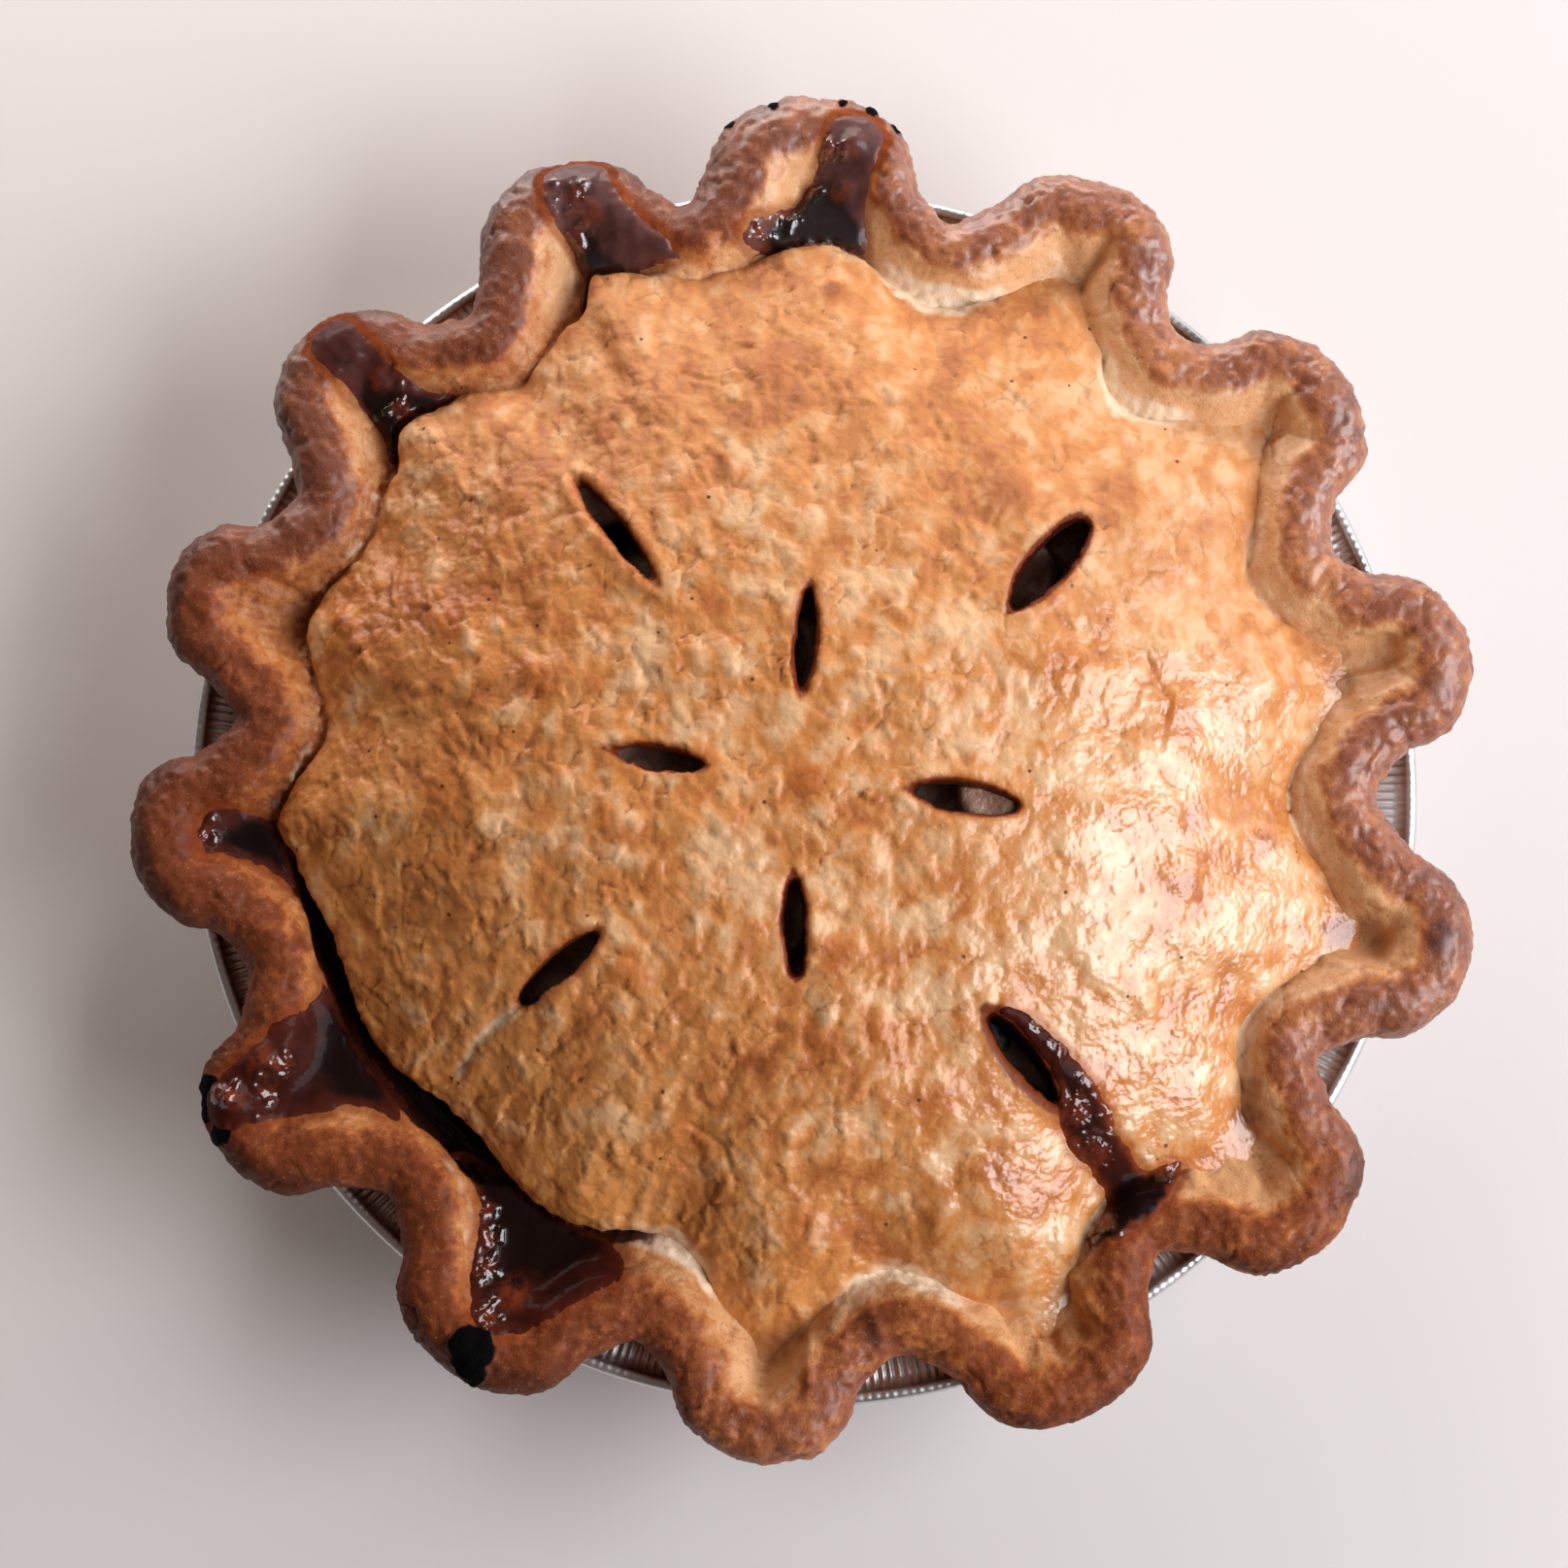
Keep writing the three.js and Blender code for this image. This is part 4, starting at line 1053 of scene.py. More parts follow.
# Where bubbles stand close together: angle, reach and how far round it.
FROTH = [
    (94.5, 100.8, 2.2), (92, 104, 2), (89.4, 109, 2.4), (87.6, 115, 2.2), (112.6, 107, 3), (111.4, 114, 3),
    (137, 100, 3), (185, 107.4, 2), (208.8, 105, 2.4), (210.4, 110, 2.4), (208.5, 117, 2.4), (233.8, 94.5, 2),
    (235.6, 98.5, 2), (237, 103, 2.4), (239.8, 110, 2.4), (308.4, 76, 4), (307.6, 84, 4), (304, 94.8, 2.6),
    (312.6, 94.6, 2), (312.0, 60, 1.2), (312.8, 66, 1.4), (312.4, 73, 1.4), (311.4, 80, 1.4),
    (306.2, 80, 1.4),
]
# A large bubble that set as a dome: angle, reach and radius.
DOMES = [
    (207.2, 108.6, 4.6), (240.6, 104.6, 4.8), (209.5, 115.6, 3.2), (86.4, 108.5, 3.4), (85.6, 116.5, 3),
    (110.4, 110.5, 3.4), (136.6, 106, 3),
]
# How much the syrup shines at some angles, from 0 to 1: more gloss, and a painted grey-purple sheen.
SHEEN = [(55, 1), (118, 1), (135, 0.35), (185, 0.15), (215, 0.05), (265, 0), (310, 0)]
SYRUP_STEP = 0.42
at_rest = bpy.context.evaluated_depsgraph_get()
crusts = [BVHTree.FromObject(piece, at_rest) for piece in (rim, lid)]
print(len(SYRUPS), "bodies of syrup,", len(FROTH), "patches of froth and", len(DOMES), "large bubbles")


def ground(points):
    """Height of the crust below each point (x, y), in millimetres."""
    heights = np.full(len(points), SHEET_BOTTOM)
    for i, (x, y) in enumerate(points * MM):
        for tree in crusts:
            hit = tree.ray_cast(Vector((x, y, 0.1)), Vector((0, 0, -1)))[0]
            if hit:
                heights[i] = max(heights[i], hit.z / MM)
    return heights


def inside_of(points, outline):
    """Distance of points inside a smooth closed outline of angles and reaches, below zero outside it."""
    curve = closed_curve(at_polar(*np.array(outline, float).T), 120)
    looped = np.vstack([curve, curve[:1]])
    near = np.all((points > curve.min(0) - 4) & (points < curve.max(0) + 4), axis=1)
    x, y = points[near].T
    crossed = np.zeros(len(x), bool)
    for (start_x, start_y), (end_x, end_y) in zip(looped[:-1], looped[1:]):
        if start_y != end_y:
            border = (end_x - start_x) * (y - start_y) / (end_y - start_y) + start_x
            crossed ^= ((start_y > y) != (end_y > y)) & (x < border)
    nearest = from_line(points[near], looped)
    found = np.full(len(points), -4.0)
    found[near] = np.where(crossed, nearest, -nearest)
    return found


def bubbles(points, depth, seed):
    """Height of half-round bubbles that stand in the froth of a body of syrup."""
    lot = np.random.default_rng(seed)
    height = np.zeros(len(points))
    for at, out, spread in FROTH:
        if np.min(away_from(points, at, out)) > SYRUP_STEP:
            continue
        for _ in range(12):
            place = at_polar(at, out) + lot.normal(0, 0.6 * spread, 2)
            radius = lot.uniform(0.4, 1.25)
            away = np.linalg.norm(points - place, axis=1)
            height = np.maximum(height, 0.75 * np.sqrt(np.maximum(radius**2 - away**2, 0)))
    return height * smooth(depth, 0, 0.8)


def domed(points):
    """How far points lie under large bubbles, from 0 at their edge to 1 in the middle."""
    share = [away_from(points, at, out) / radius for at, out, radius in DOMES]
    return (1 - np.minimum(np.min(share, axis=0), 1) ** 2) ** 2


# %% Lay the syrup
def evened(heights, rounds=8):
    """A grid of heights, evened out by its neighbours a few times."""
    for _ in range(rounds):
        padded = np.pad(heights, 1, mode="edge")
        beside = padded[:-2, 1:-1] + padded[2:, 1:-1] + padded[1:-1, :-2] + padded[1:-1, 2:]
        heights = (beside + 2 * heights) / 6
    return heights


def closed_sheet(flat, top, under, inside):
    """The used points, and their numbers, and faces of a sheet over the grid cells that lie inside."""
    whole = inside[:-1, :-1] & inside[1:, :-1] & inside[1:, 1:] & inside[:-1, 1:]
    upper_faces = grid_faces(*inside.shape)[whole.ravel()]
    edges = np.concatenate([upper_faces[:, [k, (k + 1) % 4]] for k in range(4)]).tolist()
    known = {tuple(edge) for edge in edges}
    open_edges = np.array([edge for edge in edges if (edge[1], edge[0]) not in known])
    walls = np.hstack([open_edges[:, ::-1], open_edges + len(flat)])
    faces = np.concatenate([upper_faces, upper_faces[:, ::-1] + len(flat), walls])
    used, renamed = np.unique(faces, return_inverse=True)
    return np.concatenate([lifted(flat, top), lifted(flat, under)])[used], used, [renamed.reshape(-1, 4)]


def syrup_top(flat, depth, ground_height, shape, level, film):
    """Height of the syrup: a film on the crust, or a level pool with a rounded margin where it is deep."""
    film = film * (0.4 + 0.6 * smooth(depth, 1, 4))
    bed = evened(ground_height.reshape(shape)).ravel()
    settled = np.maximum(bed + film * (0.9 + 0.2 * rolling(flat, 6, 74)), ground_height + 0.15)
    top = ground_height + (film + 0.5) * smooth(depth, -0.9, 1.6) - 0.5
    top += (settled - top) * smooth(depth, 0.4, 3)
    low = top - (level + 0.06 * rolling(flat, 5, 75))
    meniscus = np.maximum(2.4 - np.abs(low), 0) ** 2 / 9.6
    pooled = np.minimum(np.maximum(-low, 0), 3) + np.where(low < 2.4, meniscus, 0)
    return top + pooled * smooth(depth, 0.2, 2.2)


def lay_syrup(node, level, film, outline, seed):
    """A closed body of syrup on the crust, inside its outline."""
    in_run = node == "syrup_pool_waist"
    rough_outline = at_polar(*np.array(outline, float).T)
    low_corner, high_corner = rough_outline.min(0) - 2, rough_outline.max(0) + 2
    axes = [np.arange(low_corner[k], high_corner[k], SYRUP_STEP) for k in (0, 1)]
    grid = np.stack(np.meshgrid(*axes, indexing="ij"), -1)
    flat, shape = grid.reshape(-1, 2), grid.shape[:2]
    angle, reach = polar(flat)
    depth = inside_of(flat, outline) + 0.55 * rolling(flat, 3.2, 72) + 0.3 * rolling(flat, 1.5, 73)
    if not in_run:
        depth = np.minimum(depth, (reach - lid_edge(angle) + 0.2) * 2)
    ground_height = np.full(len(flat), SHEET_BOTTOM)
    close = depth > -1.5
    ground_height[close] = ground(flat[close])
    depth = np.where((ground_height < SHEET_BOTTOM + 1) & (reach > 105), -2, depth)
    bubbled = bubbles(flat, depth, seed) * (1 - 0.6 * smooth(depth, 0, 1) * in_run)
    dome = domed(flat) * smooth(depth, 0.2, 2)
    top = syrup_top(flat, depth, ground_height, shape, level, film) + bubbled + 1.1 * dome
    inside = (depth > -0.9).reshape(shape)
    points, used, faces = closed_sheet(flat, top, np.minimum(ground_height, top) - 0.9, inside)
    piece = add_piece(node.replace("pool", "caramel"), points, faces)

    foam = np.max([np.exp(-(away_from(flat, at, out) / spread) ** 2) for at, out, spread in FROTH], axis=0)
    sheen = round_the_pie(SHEEN, angle)
    # Where it shines, the syrup is painted less dark, with stronger orange edges: part of the painted sheen.
    deep = smooth(top - bubbled - dome - ground_height, 0.2, 2.4) * (1 - 0.35 * sheen)
    thin = 1 - smooth(depth + 0.8 * rolling(flat, 2, 79), 0.2, 2)
    if in_run:
        waist_pool = 0.6 * smooth(reach, 90, 93) * smooth(depth, 0.3, 1.6)
        deep = np.maximum(deep, 0.3 * smooth(depth, 1, 3) + waist_pool)
        thin *= smooth(reach, 66, 76)
    else:
        thin *= 0.15 + 0.35 * sheen
    masks = {"deep": deep, "foam": foam, "sheen": sheen, "thin": thin,
             "bubble": smooth(bubbled, 0.02, 0.3), "dome": dome}
    paint(piece, **{name: np.tile(values, 2)[used] for name, values in masks.items()})
    modify(piece, "SMOOTH", factor=0.5, iterations=1)
    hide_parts(node)
    return piece


syrup_pieces = [lay_syrup(*body, seed=90 + i) for i, body in enumerate(SYRUPS)]
print("syrup", [len(piece.data.polygons) for piece in syrup_pieces], "faces")

# %% Dough that syrup has stained, and painted shade in the tear
# A stain: its angle, reach, radius and strength.
STAINS = [
    (344.5, 99.5, 4.2, 0.9), (345.5, 104, 3.2, 0.55), (322.5, 99, 4.0, 0.7), (325, 96.5, 3.0, 0.5),
    (11, 98.5, 3.6, 0.55), (267, 100.5, 4.5, 0.55), (269, 97.5, 3.6, 0.45), (291.5, 99.5, 3.6, 0.5),
    (313, 97, 3.5, 0.5), (36.5, 103, 3.4, 0.35), (162, 96, 3.6, 0.5), (159.5, 94.5, 2.6, 0.6),
    (62, 103, 3.4, 0.35), (250, 92, 4.5, 0.6), (198, 92.5, 2.6, 0.6), (185.5, 110.5, 4.5, 0.7),
]
for piece in (rim, lid):
    points, _ = read_points(piece)
    flat = points[:, :2]
    soaked = np.max([inside_of(flat, body[3]) for body in SYRUPS], axis=0) + 0.9 * rolling(flat, 3, 76)
    soaked = 0.7 * smooth(soaked, -2.4, 0.3)
    if piece is lid:
        soaked *= smooth(flat[:, 0], 20, 30)
    else:
        angle, reach = polar(points)
        # Along the tear, low parts of the sheet are painted dark: partly syrup, partly painted shade in the
        # gap.
        torn = smooth(angle % 360, 184, 190) * (1 - smooth(angle % 360, 250, 257))
        torn *= 1 - smooth(reach - lid_edge(angle), 6, 11)
        low_in_tear = 1 - smooth(points[:, 2] + 0.6 * rolling(flat, 2.5, 78), 36.2, 38.6)
        soaked = np.maximum(soaked, torn * low_in_tear)
    smeared = np.zeros(len(points))
    for at, out, radius, strength in STAINS:
        away = away_from(flat, at, out) / radius + 0.35 * rolling(flat, 2.5, 77)
        smeared = np.maximum(smeared, strength * (1 - smooth(away, 0.3, 1.1)))
    paint(piece, soaked=soaked, smeared=smeared)
    print(piece.name, "is soaked on", round(100 * np.mean(soaked > 0.3), 1), "% of its points")

# %% [markdown]
# ## The foil tin
#
# A foil tin is stamped from a flat disc. The metal that is left over stands up as fine pleats on the
# wall and the flange, and the cut edge is rolled under into a curl. The tin is a turned profile
# whose points move in and out with a wave, one wave for each pleat. They are deepest on the wall.

# %% Pleated foil
PLEATS = 440
PLEAT_STEPS = 6
TIN_BASE = 80.5
TIN_MOUTH = 98.6
CURL = 1.3
FOIL = 0.3


def make_tin():
    """The tin's profile of reach, height and pleat depth, turned with a wave for each pleat."""
    outside = [
        (0.3, 0, 0), (60, 0, 0), (TIN_BASE - 2, 0, 0), (TIN_BASE, 0.25, 0.05), (TIN_BASE + 1.4, 1.3, 0.2),
        (TIN_BASE + 5, 7, 0.42), (TIN_BASE + 9, 14, 0.45), (TIN_BASE + 13, 20.5, 0.42),
        (TIN_MOUTH - 0.6, 27, 0.3), (TIN_MOUTH + 0.7, TIN_TOP - 1.9, 0.3),
        (TIN_MOUTH + 4, TIN_TOP - 1.6, 0.3), (TIN_MOUTH + 8, TIN_TOP - 1.4, 0.3),
    ]
    curl = [(TIN_RADIUS - CURL + CURL * np.cos(a), TIN_TOP - CURL + CURL * np.sin(a), 0.05)
            for a in np.radians(np.linspace(-175, 165, 12))]
    inside = [(out - FOIL * (out < TIN_MOUTH), up + FOIL, depth) for out, up, depth in outside[::-1]]
    reach, height, depth = np.array(outside + curl + inside).T
    steep = np.interp(reach, [TIN_BASE, TIN_BASE + 2, TIN_MOUTH - 0.5, TIN_MOUTH + 1], [0, 0.85, 0.85, 0])
    angle = np.linspace(0, 360, PLEATS * PLEAT_STEPS, endpoint=False)[:, None]
    jitter = 0.35 * rolling(at_polar(angle[:, 0], 40), 1, 81)[:, None]
    wave = np.sin(np.radians(angle) * PLEATS + 2.5 * jitter) * (0.75 + jitter) * depth
    return turned(lifted(at_polar(angle, reach + wave * steep), np.maximum(height + wave * (1 - steep), 0)))


tin = add_piece("pleated_tin", *make_tin())
print("tin", len(tin.data.polygons), "faces")


# %% The bottom crust inside the tin
def make_bottom_crust():
    """The crust that lines the tin, from the floor up to the sheet."""
    angle = np.linspace(0, 360, 180, endpoint=False)[:, None]
    reach, height = np.array([
        (0.3, 1.1), (79, 1.1), (81, 2.2), (96.6, 27.6), (98.0, SHEET_BOTTOM + 1), (92.4, SHEET_BOTTOM + 1),
        (91.6, 28), (77, 7.4), (75.5, 6.2), (0.3, 5.4)]).T
    return turned(lifted(at_polar(angle, reach), height))


bottom_crust = add_piece("bottom_crust", *make_bottom_crust())
# It shows only in the tear's gap and is painted dark all over: partly syrup, partly painted shade.
paint(bottom_crust, soaked=np.ones(len(bottom_crust.data.vertices)))

# %% [markdown]
# ## Finishes
#
# Each finish starts from what the real surface is. Colours are sRGB hex values, and one function
# turns them to linear. Patterns are measured in millimetres: a texture with a scale of 1000 / s has
# waves or cells of s millimetres, because the pie's own coordinates are in metres. A crust's colour
# could be one painted picture. Here it is a base under thin layers, as browning builds up in an oven,
# and each layer is eased in where a mask or a pattern rises from one value to another.

# %% Colours and nodes
def colour(hex_value):
    """A linear colour from an sRGB hex value."""
    parts = [int(hex_value[k:k + 2], 16) / 255 for k in (1, 3, 5)]
    return tuple(c / 12.92 if c <= 0.04045 else ((c + 0.055) / 1.055) ** 2.4 for c in parts) + (1.0,)


def add_node(tree, kind, inputs=(), **settings):
    """Adds one node with its settings, sets or links its inputs, and gives its outputs."""
    node = tree.nodes.new("ShaderNode" + kind)
    for key, value in settings.items():
        setattr(node, key, value)
    for key, value in inputs.items() if isinstance(inputs, dict) else enumerate(inputs):
        if isinstance(value, bpy.types.NodeSocket):
            tree.links.new(value, node.inputs[key])
        else:
            node.inputs[key].default_value = value
    return node.outputs


def new_finish(name, masks=""):
    """A new material, what adds nodes to it, the pie's own coordinates, and the painted masks."""
    material = bpy.data.materials.new(name)
    material.use_nodes = True
    material.node_tree.nodes.clear()
    add = functools.partial(add_node, material.node_tree)
    painted = [add("Attribute", attribute_name=mask)["Fac"] for mask in masks.split()]
    return material, add, add("TexCoord")["Object"], painted


def cells(place, millimetres):
    """Inputs of a texture with cells of a size."""
    return {"Vector": place, "Scale": 1000 / millimetres}


def waves(place, millimetres, detail=3.0, roughness=0.55, distortion=0.0):
    """Inputs of a noise texture with waves of a size."""
    return cells(place, millimetres) | {"Detail": detail, "Roughness": roughness, "Distortion": distortion}


def eased(add, *rows):
    """Masks eased from one range to another and multiplied. A row: mask, low, high, value at each."""
    shares = [add("MapRange", row, interpolation_type="SMOOTHSTEP")[0] for row in rows]
    return functools.reduce(lambda one, other: add("Math", (one, other), operation="MULTIPLY")[0], shares)


def summed(add, start, *terms):
    """A start value plus each term's value times its factor."""
    for value, factor in terms:
        start = add("Math", (value, factor, start), operation="MULTIPLY_ADD")[0]
    return start


def layered(add, base, layers):
    """A base colour under thin layers, each eased in by its mask, or laid on evenly from 0 to 1."""
    for mask, low, high, strength, hex_value in layers:
        kind = "LINEAR" if (low, high) == (0, 1) else "SMOOTHSTEP"
        share = add("MapRange", (mask, low, high, 0, strength), interpolation_type=kind)[0]
        base = add("Mix", {0: share, 6: base, 7: colour(hex_value)}, data_type="RGBA")[2]
    return base


def finished(material, add, inputs, below=0.0, radius=(0, 0, 0)):
    """The material, once its shader has its inputs and a share of light that scatters below the skin."""
    scattered = {"Subsurface Weight": below, "Subsurface Radius": radius, "Subsurface Scale": 1.0}
    add("OutputMaterial", {"Surface": add("BsdfPrincipled", inputs | scattered)["BSDF"]})
    return material


# %% [markdown]
# ### Egg-washed shortcrust
# Towards the shaded lower left its colour is painted lighter and warmer, as fill light.
#
# The lid was brushed with egg and baked. Fat and flour give a warm straw colour where the crust is
# thin or shaded, gold where the egg browned, and chestnut on blisters. The wash lies thick on the
# right, where it shines, and is almost dry at the top, so a coat over a matt base follows two masks.
# Baked crumb scatters a little light, and a small subsurface share softens its shadows.
# On the right the crust is paler, partly as a painted sheen of the window on the egg wash.

# %% Lid finish
def lid_finish():
    """Egg-washed shortcrust."""
    names = "toast brown raw stain crease washed matt warm soaked smeared"
    material, add, place, masks = new_finish("egg_washed_shortcrust", names)
    toast, brown, raw, stain, crease, washed, matt, warm, soaked, smeared = masks
    mottle = add("TexNoise", waves(place, 3.0, 4, 0.6, 0.3))["Fac"]
    crumb = add("TexNoise", waves(place, 0.9, 2, 0.6))["Fac"]
    pores = add("TexNoise", waves(place, 1.7, 1, 0.5))["Fac"]
    speck = add("TexVoronoi", cells(place, 7))["Distance"]
    # The coordinates are pushed about by up to 3 mm, so that the flakes lose their straight borders.
    push = add("TexNoise", waves(place, 2.4, 2, 0.5))["Color"]
    scattered = add("VectorMath", (push, (3.2 * MM,) * 3, place), operation="MULTIPLY_ADD")[0]
    flake = add("TexVoronoi", cells(scattered, 4.2))["Color"]
    scale = add("TexVoronoi", cells(scattered, 2.1))["Color"]
    tone = summed(add, 0.05, (toast, 1.0), (mottle, 0.5), (flake, 0.24))
    base = layered(add, colour("#E7B98A"), [
        (tone, 0.45, 0.95, 1.0, "#D38A48"),
        (tone, 0.85, 1.2, 0.9, "#B86932"),
        (tone, 1.1, 1.45, 0.6, "#8A4519"),
        (brown, 0.1, 0.6, 0.65, "#BF6B28"),
        (brown, 0.5, 1.0, 0.75, "#87421A"),
        (crumb, 0.56, 0.74, 0.12, "#EAC390"),
        (crease, 0.2, 1.0, 0.4, "#87471D"),
        (matt, 0, 1, 0.14, "#C89A70"),
        # Painted fill light: the shaded lower left is tinted a lighter, warmer gold.
        (warm, 0, 1, 0.28, "#EBA056"),
        (raw, 0.1, 0.8, 0.9, "#F4DCBC"),
        (speck, 0.07, 0.04, 0.9, "#55290F"),
        (smeared, 0, 1, 0.85, "#7C3A20"),
        (soaked, 0.1, 0.8, 0.8, "#A9571F"),
        (soaked, 0.8, 1.0, 0.9, "#4A190D"),
        (stain, 0.05, 0.4, 0.9, "#6E2C12"),
        (stain, 0.45, 0.9, 1.0, "#380F08"),
    ])
    flaking = eased(add, (washed, 0, 1, 0.4, 0.12))
    height = summed(add, 0.0, (flake, flaking), (scale, flaking), (crumb, 0.3), (pores, 1.1))
    bump = add("Bump", {"Strength": 0.4, "Distance": 0.6 * MM, "Height": height})[0]
    dry = ((stain, 0.4, 0), (soaked, 0.1, 0.6, 1, 0), (matt, 0, 1, 1, 0.3))
    coat = eased(add, (washed, 0, 1, 0.14, 0.8), *dry)
    return finished(material, add, {
        "Base Color": base, "Roughness": summed(add, eased(add, (washed, 0, 1, 0.46, 0.3)), (matt, 0.2)),
        "Normal": bump, "Coat Normal": bump, "Coat Weight": coat, "Coat IOR": 1.65,
        "Coat Roughness": eased(add, (washed, 0, 1, 0.24, 0.17)),
        "Specular IOR Level": eased(add, (stain, 0, 0.5, 0.45, 0.1)),
    }, 0.1, (0.0022, 0.0011, 0.0005))


# %% [markdown]
# ### Baked shortcrust
# Its left and lower side is darker, partly browner crust and partly painted shade away from the window.
#
# The rim stood free in the oven, so it browned most. Its outer edges went to a dull purple brown,
# its crest is chestnut and its inner flanks are gold, with pale dough in the creases at the lid.
# Egg reached the lobes at the top and the right, which have a soft shine, and the rest is dry.

# %% Rim finish
def rim_finish():
    """Baked shortcrust, browned by its own masks."""
    names = "toast scorch raw baked char shine soaked smeared"
    material, add, place, masks = new_finish("baked_shortcrust", names)
    toast, scorch, raw, baked, char, shine, soaked, smeared = masks
    mottle = add("TexNoise", waves(place, 2.8, 6, 0.7, 0.5))["Fac"]
    crumb = add("TexNoise", waves(place, 1.0, 4, 0.72))["Fac"]
    pores = add("TexNoise", waves(place, 1.5, 4, 0.7))["Fac"]
    cloud = add("TexNoise", waves(place, 5))["Fac"]
    freckles = eased(add, (add("TexNoise", waves(place, 2.2, 3, 0.6))["Fac"], 0.3, 0.7, -0.14, 0.14))
    tone = summed(add, 0.12, (toast, 1.0), (mottle, 0.75), (baked, 0.12), (freckles, baked))
    dull = summed(add, scorch, (mottle, 0.6))
    base = layered(add, colour("#EAB481"), [
        (tone, 0.5, 0.92, 1.0, "#C77E46"),
        (tone, 0.85, 1.2, 0.95, "#97502C"),
        (tone, 1.08, 1.45, 0.8, "#6A2F18"),
        (dull, 0.55, 1.1, 0.88, "#4A2319"),
        (crumb, 0.56, 0.74, 0.3, "#E6B27A"),
        (crumb, 0.46, 0.3, 0.4, "#723719"),
        # Painted shade in part: the left and lower side is tinted darker, besides its browner crust.
        (baked, 0, 1, 0.2, "#7A3E1E"),
        (raw, 0.15, 0.8, 0.9, "#F7DFC2"),
        (smeared, 0, 1, 0.8, "#6E3323"),
        (soaked, 0.1, 0.7, 0.6, "#843C1C"),
        (soaked, 0.7, 1.0, 0.95, "#32100A"),
        (char, 0.2, 0.7, 1.0, "#050404"),
    ])
    height = summed(add, crumb, (pores, 0.9))
    spoilt = add("Math", (char, soaked), operation="MAXIMUM")[0]
    gloss = summed(add, 0.0, (shine, eased(add, (spoilt, 0.5, 0))))
    return finished(material, add, {
        "Base Color": base, "Roughness": summed(add, eased(add, (cloud, 0.3, 0.7, 0.42, 0.62)), (char, 0.3)),
        "Normal": add("Bump", {"Strength": 0.35, "Distance": 0.9 * MM, "Height": height})[0],
        "Coat Weight": gloss, "Coat Roughness": 0.34, "Coat IOR": 1.65,
        "Specular IOR Level": eased(add, (gloss, 0, 0.5, 0.06, 0.5)),
    }, 0.06, (0.002, 0.001, 0.0005))


# %% [markdown]
# ### Caramel, stewed apple and foil
#
# Caramelised syrup is nearly black where it is deep, red-brown in a film and amber in a thin dome,
# and it shines like glass where it set wet. Slices of stewed apple are a dull, wet grey-brown. The
# mass under them is coloured almost black: dark filling, and painted shade for the hollows under
# the lid. Rolled aluminium is bright and a little rough.

# %% Syrup, apple and foil finishes
def caramel_finish():
    """Set apple caramel."""
    material, add, place, masks = new_finish("apple_caramel", "deep foam bubble sheen dome thin")
    deep, foam, bubble, sheen, dome, thin = masks
    cloud = summed(add, deep, (add("TexNoise", waves(place, 4))["Fac"], 0.9))
    froth = summed(add, foam, (add("TexNoise", waves(place, 2.4))["Fac"], 0.9))
    glow = eased(add, (add("TexNoise", waves(place, 3, 2))["Fac"], 0.35, 0.6))
    base = layered(add, colour("#44160C"), [
        # Painted sheen: at the top, where the syrup faces the low windows, its colour turns grey-purple.
        (sheen, 0, 1, 1.0, "#5E3836"),
        (cloud, 0.35, 1.1, 1.0, "#170705"),
        (froth, 0.9, 1.4, 0.6, "#6E2816"),
        (summed(add, 0.0, (dome, glow)), 0, 1, 0.65, "#8C3C1E"),
        (thin, 0, 1, 0.8, "#853B1C"),
    ])
    bead = eased(add, (add("TexVoronoi", cells(place, 1.5))["Distance"], 0.5, 0.1), (froth, 0.7, 1.2))
    height = summed(add, 0.0, (add("TexNoise", waves(place, 2.2, 2))["Fac"], 0.5), (bead, 0.8))
    bump = add("Bump", {"Strength": 0.5, "Distance": 0.5 * MM, "Height": height})[0]
    wet = add("Math", (bubble, eased(add, (froth, 0.8, 1.3))), operation="MAXIMUM")[0]
    return finished(material, add, {
        "Base Color": base, "Roughness": eased(add, (wet, 0, 1, 0.55, 0.3)), "Normal": bump,
        "Specular IOR Level": summed(add, 0.05, (sheen, 0.3)), "Coat Normal": bump,
        "Coat Weight": summed(add, eased(add, (wet, 0.2, 0.9, 0.03, 0.9)), (sheen, 0.14)),
        "Coat Roughness": 0.07, "Coat IOR": 1.7,
    }, 0.08, (0.003, 0.0008, 0.0004))


def apple_finish(name, wet, clouds, colours, fibres):
    """Stewed apple with clouds of colour, fibres that stand up a little, and a wet skin."""
    material, add, place, _ = new_finish(name)
    size, low, high = clouds
    fibre, strength, stand = fibres
    cloud = add("TexNoise", waves(place, size, 4))["Fac"]
    height = add("TexNoise", waves(place, fibre))["Fac"]
    return finished(material, add, {
        "Base Color": layered(add, colour(colours[0]), [(cloud, low, high, 1.0, colours[1])]),
        "Normal": add("Bump", {"Strength": strength, "Distance": stand * MM, "Height": height})[0],
        "Roughness": 0.3, "Coat Weight": wet, "Coat Roughness": 0.12,
    }, 0.4 * wet, (0.003, 0.0015, 0.001))


def foil_finish():
    """Rolled aluminium foil."""
    material, add, place, _ = new_finish("rolled_aluminium")
    scuff = add("TexNoise", waves(place, 9, 4))["Fac"]
    height = add("TexNoise", waves(place, 3))["Fac"]
    return finished(material, add, {
        "Base Color": layered(add, colour("#D4D5D6"), [(scuff, 0, 1, 1.0, "#E8E8E9")]), "Metallic": 1.0,
        "Roughness": eased(add, (scuff, 0.3, 0.7, 0.3, 0.46)),
        "Normal": add("Bump", {"Strength": 0.25, "Distance": 0.3 * MM, "Height": height})[0]})


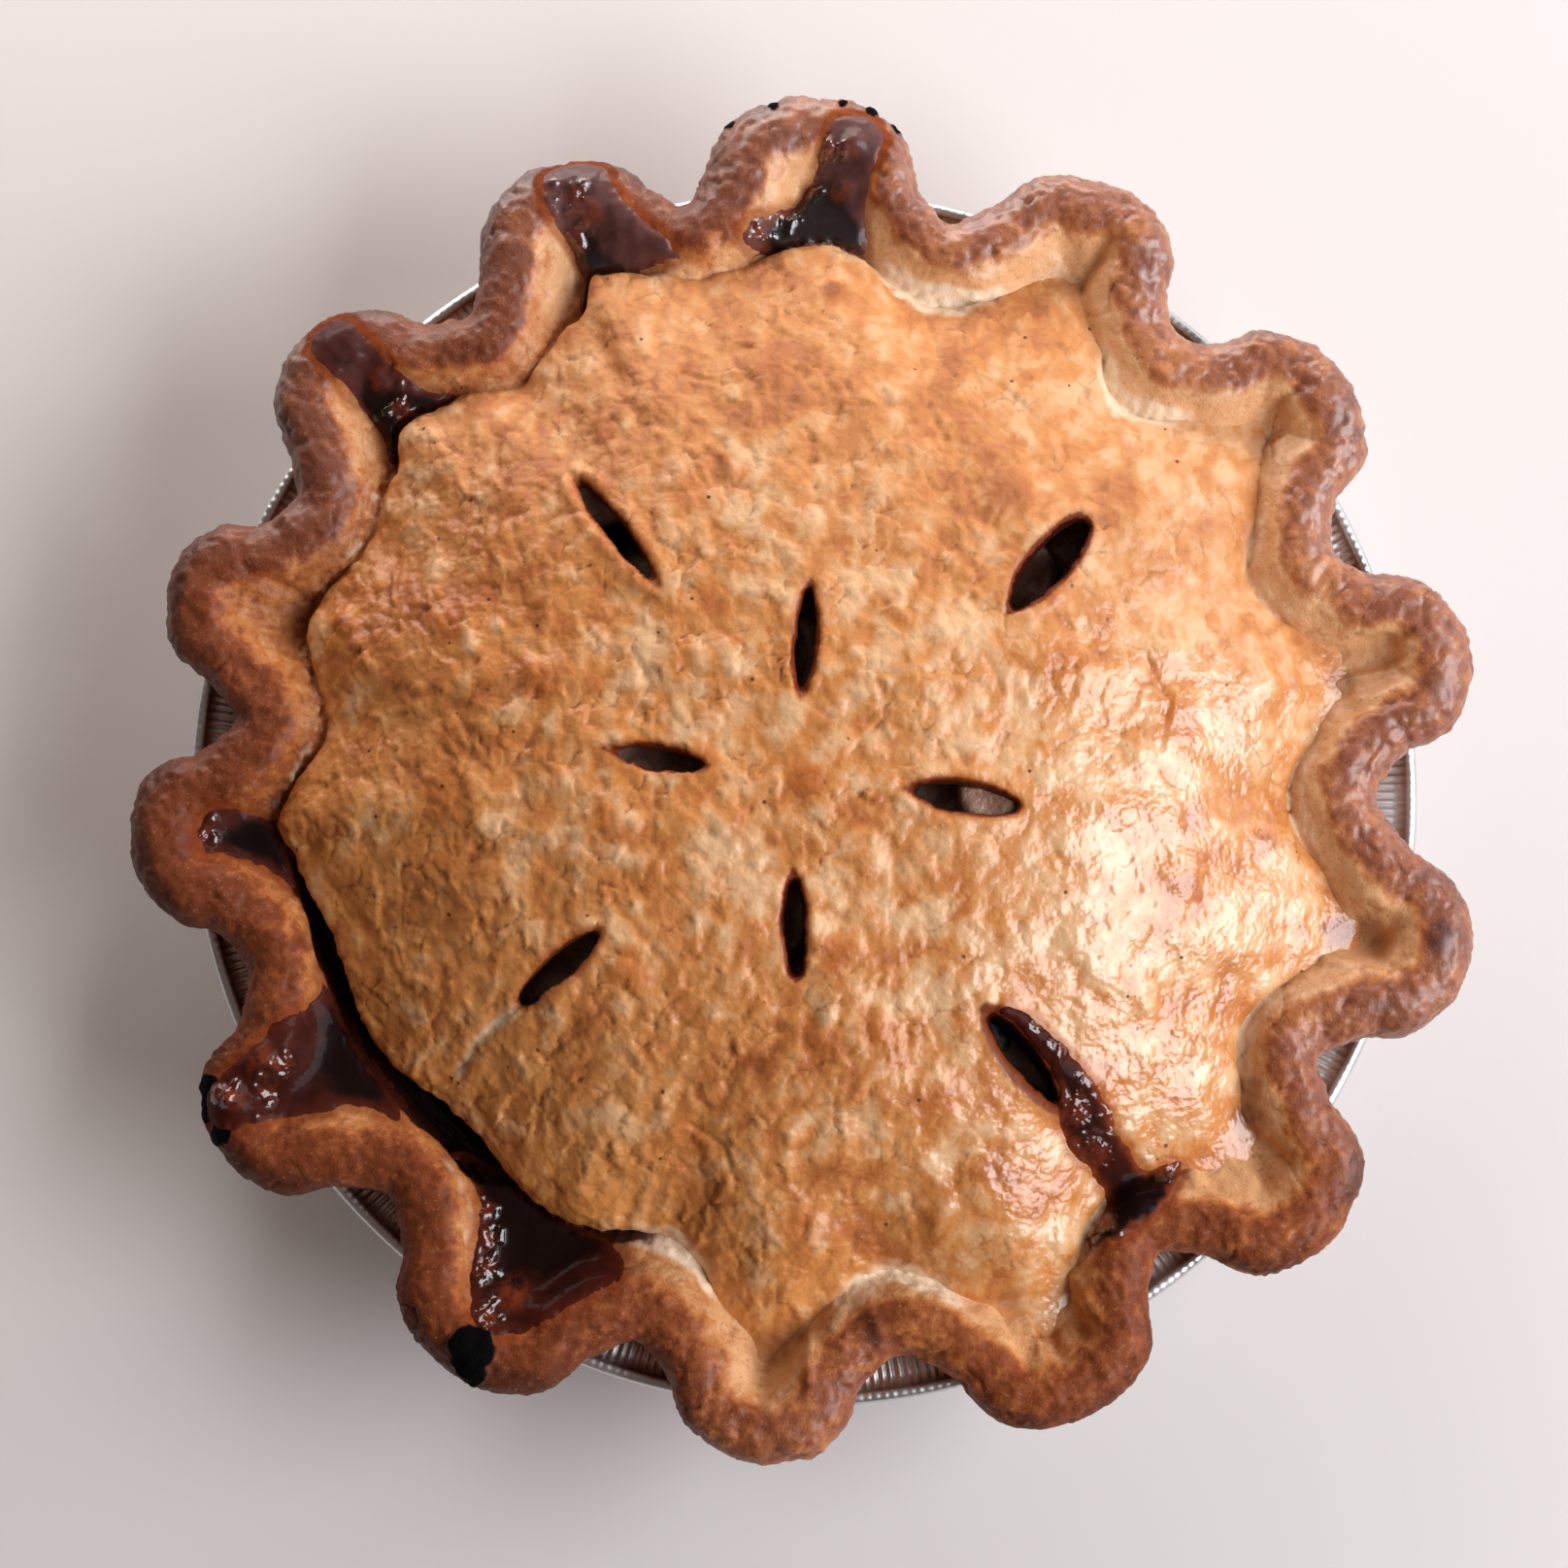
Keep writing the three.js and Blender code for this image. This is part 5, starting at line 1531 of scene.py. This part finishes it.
# %% Put the finishes on
def dress(piece, finish):
    """Gives a piece its finish and smooth shading, and lets it ride on the pie."""
    piece.data.materials.clear()
    piece.data.materials.append(finish)
    for polygon in piece.data.polygons:
        polygon.use_smooth = True
    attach(piece, "root")


shortcrust = rim_finish()
caramel = caramel_finish()
dress(rim, shortcrust)
dress(bottom_crust, shortcrust)
dress(lid, lid_finish())
# The mass is coloured almost black: dark filling, and painted shade for the hollows under the lid.
dark_mass_colours_with_painted_shade, slice_colours = ("#0A0403", "#1A0A07"), ("#8E6552", "#D4AE9A")
mass_with_painted_shade = apple_finish("apple_mass_with_painted_shade", 0.0, (6, 0.35, 0.7), dark_mass_colours_with_painted_shade, (2.5, 0.5, 0.8))
stewed_slice = apple_finish("stewed_apple_slice", 0.5, (7, 0.35, 0.68), slice_colours, (1.2, 0.7, 0.6))
dress(filling, mass_with_painted_shade)
dress(slices, stewed_slice)
dress(tin, foil_finish())
for piece in syrup_pieces:
    dress(piece, caramel)
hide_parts("pastry_case")
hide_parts("pastry_lid")
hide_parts("apple_filling")
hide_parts("foil_tin")
print("finishes", sorted(material.name for material in bpy.data.materials))

# %% [markdown]
# ## Floor and light
#
# The pie stands on a plain pale floor in soft light from a large window on the right. An area light
# does that. It stands at 40 degrees, so that it glints in the egg wash on the lid's right side. Two
# low, weaker windows at the top and the upper right light the lobes there and the syrup's edges, and
# a faint warm world keeps the shadows open.

# %% Floor
FLOOR_HALF = 2500.0
floor_corners = [(x * FLOOR_HALF, y * FLOOR_HALF, 0) for x, y in ((-1, -1), (1, -1), (1, 1), (-1, 1))]
floor = add_piece("floor", np.array(floor_corners), [[(0, 1, 2, 3)]])
floor_finish, add_to_floor, _, _ = new_finish("pale_matt_paint")
finished(floor_finish, add_to_floor, {"Base Color": colour("#E4DFDD"), "Roughness": 0.75})
floor.data.materials.append(floor_finish)
floor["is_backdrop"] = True


# %% Light
def add_window(name, azimuth, elevation, distance, width, height, power, hex_value):
    """A window's light, an area of a width and height at a place round the pie, aimed at it."""
    light = bpy.data.objects.new(name, bpy.data.lights.new(name, "AREA"))
    bpy.context.scene.collection.objects.link(light)
    azimuth, elevation = np.radians(azimuth), np.radians(elevation)
    flat_share = np.cos(elevation)
    place = Vector((np.cos(azimuth) * flat_share, np.sin(azimuth) * flat_share, np.sin(elevation)))
    light.location = place * distance
    light.rotation_euler = place.to_track_quat("Z", "Y").to_euler()
    light.data.shape = "RECTANGLE"
    light.data.size = width
    light.data.size_y = height
    light.data.energy = power
    light.data.color = colour(hex_value)[:3]
    print(name, power, "W")


add_window("window", -12, 40, 1.1, 1.0, 0.7, 15.3, "#FAFBFF")
add_window("far_window", 104, 17, 0.6, 0.7, 0.28, 3.7, "#FAF0EA")
add_window("side_window", 36, 16, 0.85, 0.8, 0.3, 1.2, "#F4F6FF")
world = bpy.data.worlds.new("studio")
world.use_nodes = True
world.node_tree.nodes["Background"].inputs["Color"].default_value = colour("#FFDFCE")
world.node_tree.nodes["Background"].inputs["Strength"].default_value = 0.11
bpy.context.scene.world = world
bpy.context.scene.view_settings.view_transform = "Standard"

# %% Sizes and the end
visual_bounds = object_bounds()
for label, box in (("model", cad_bounds), ("pie", visual_bounds)):
    print(label, [round(high - low, 4) for low, high in zip(*box)])
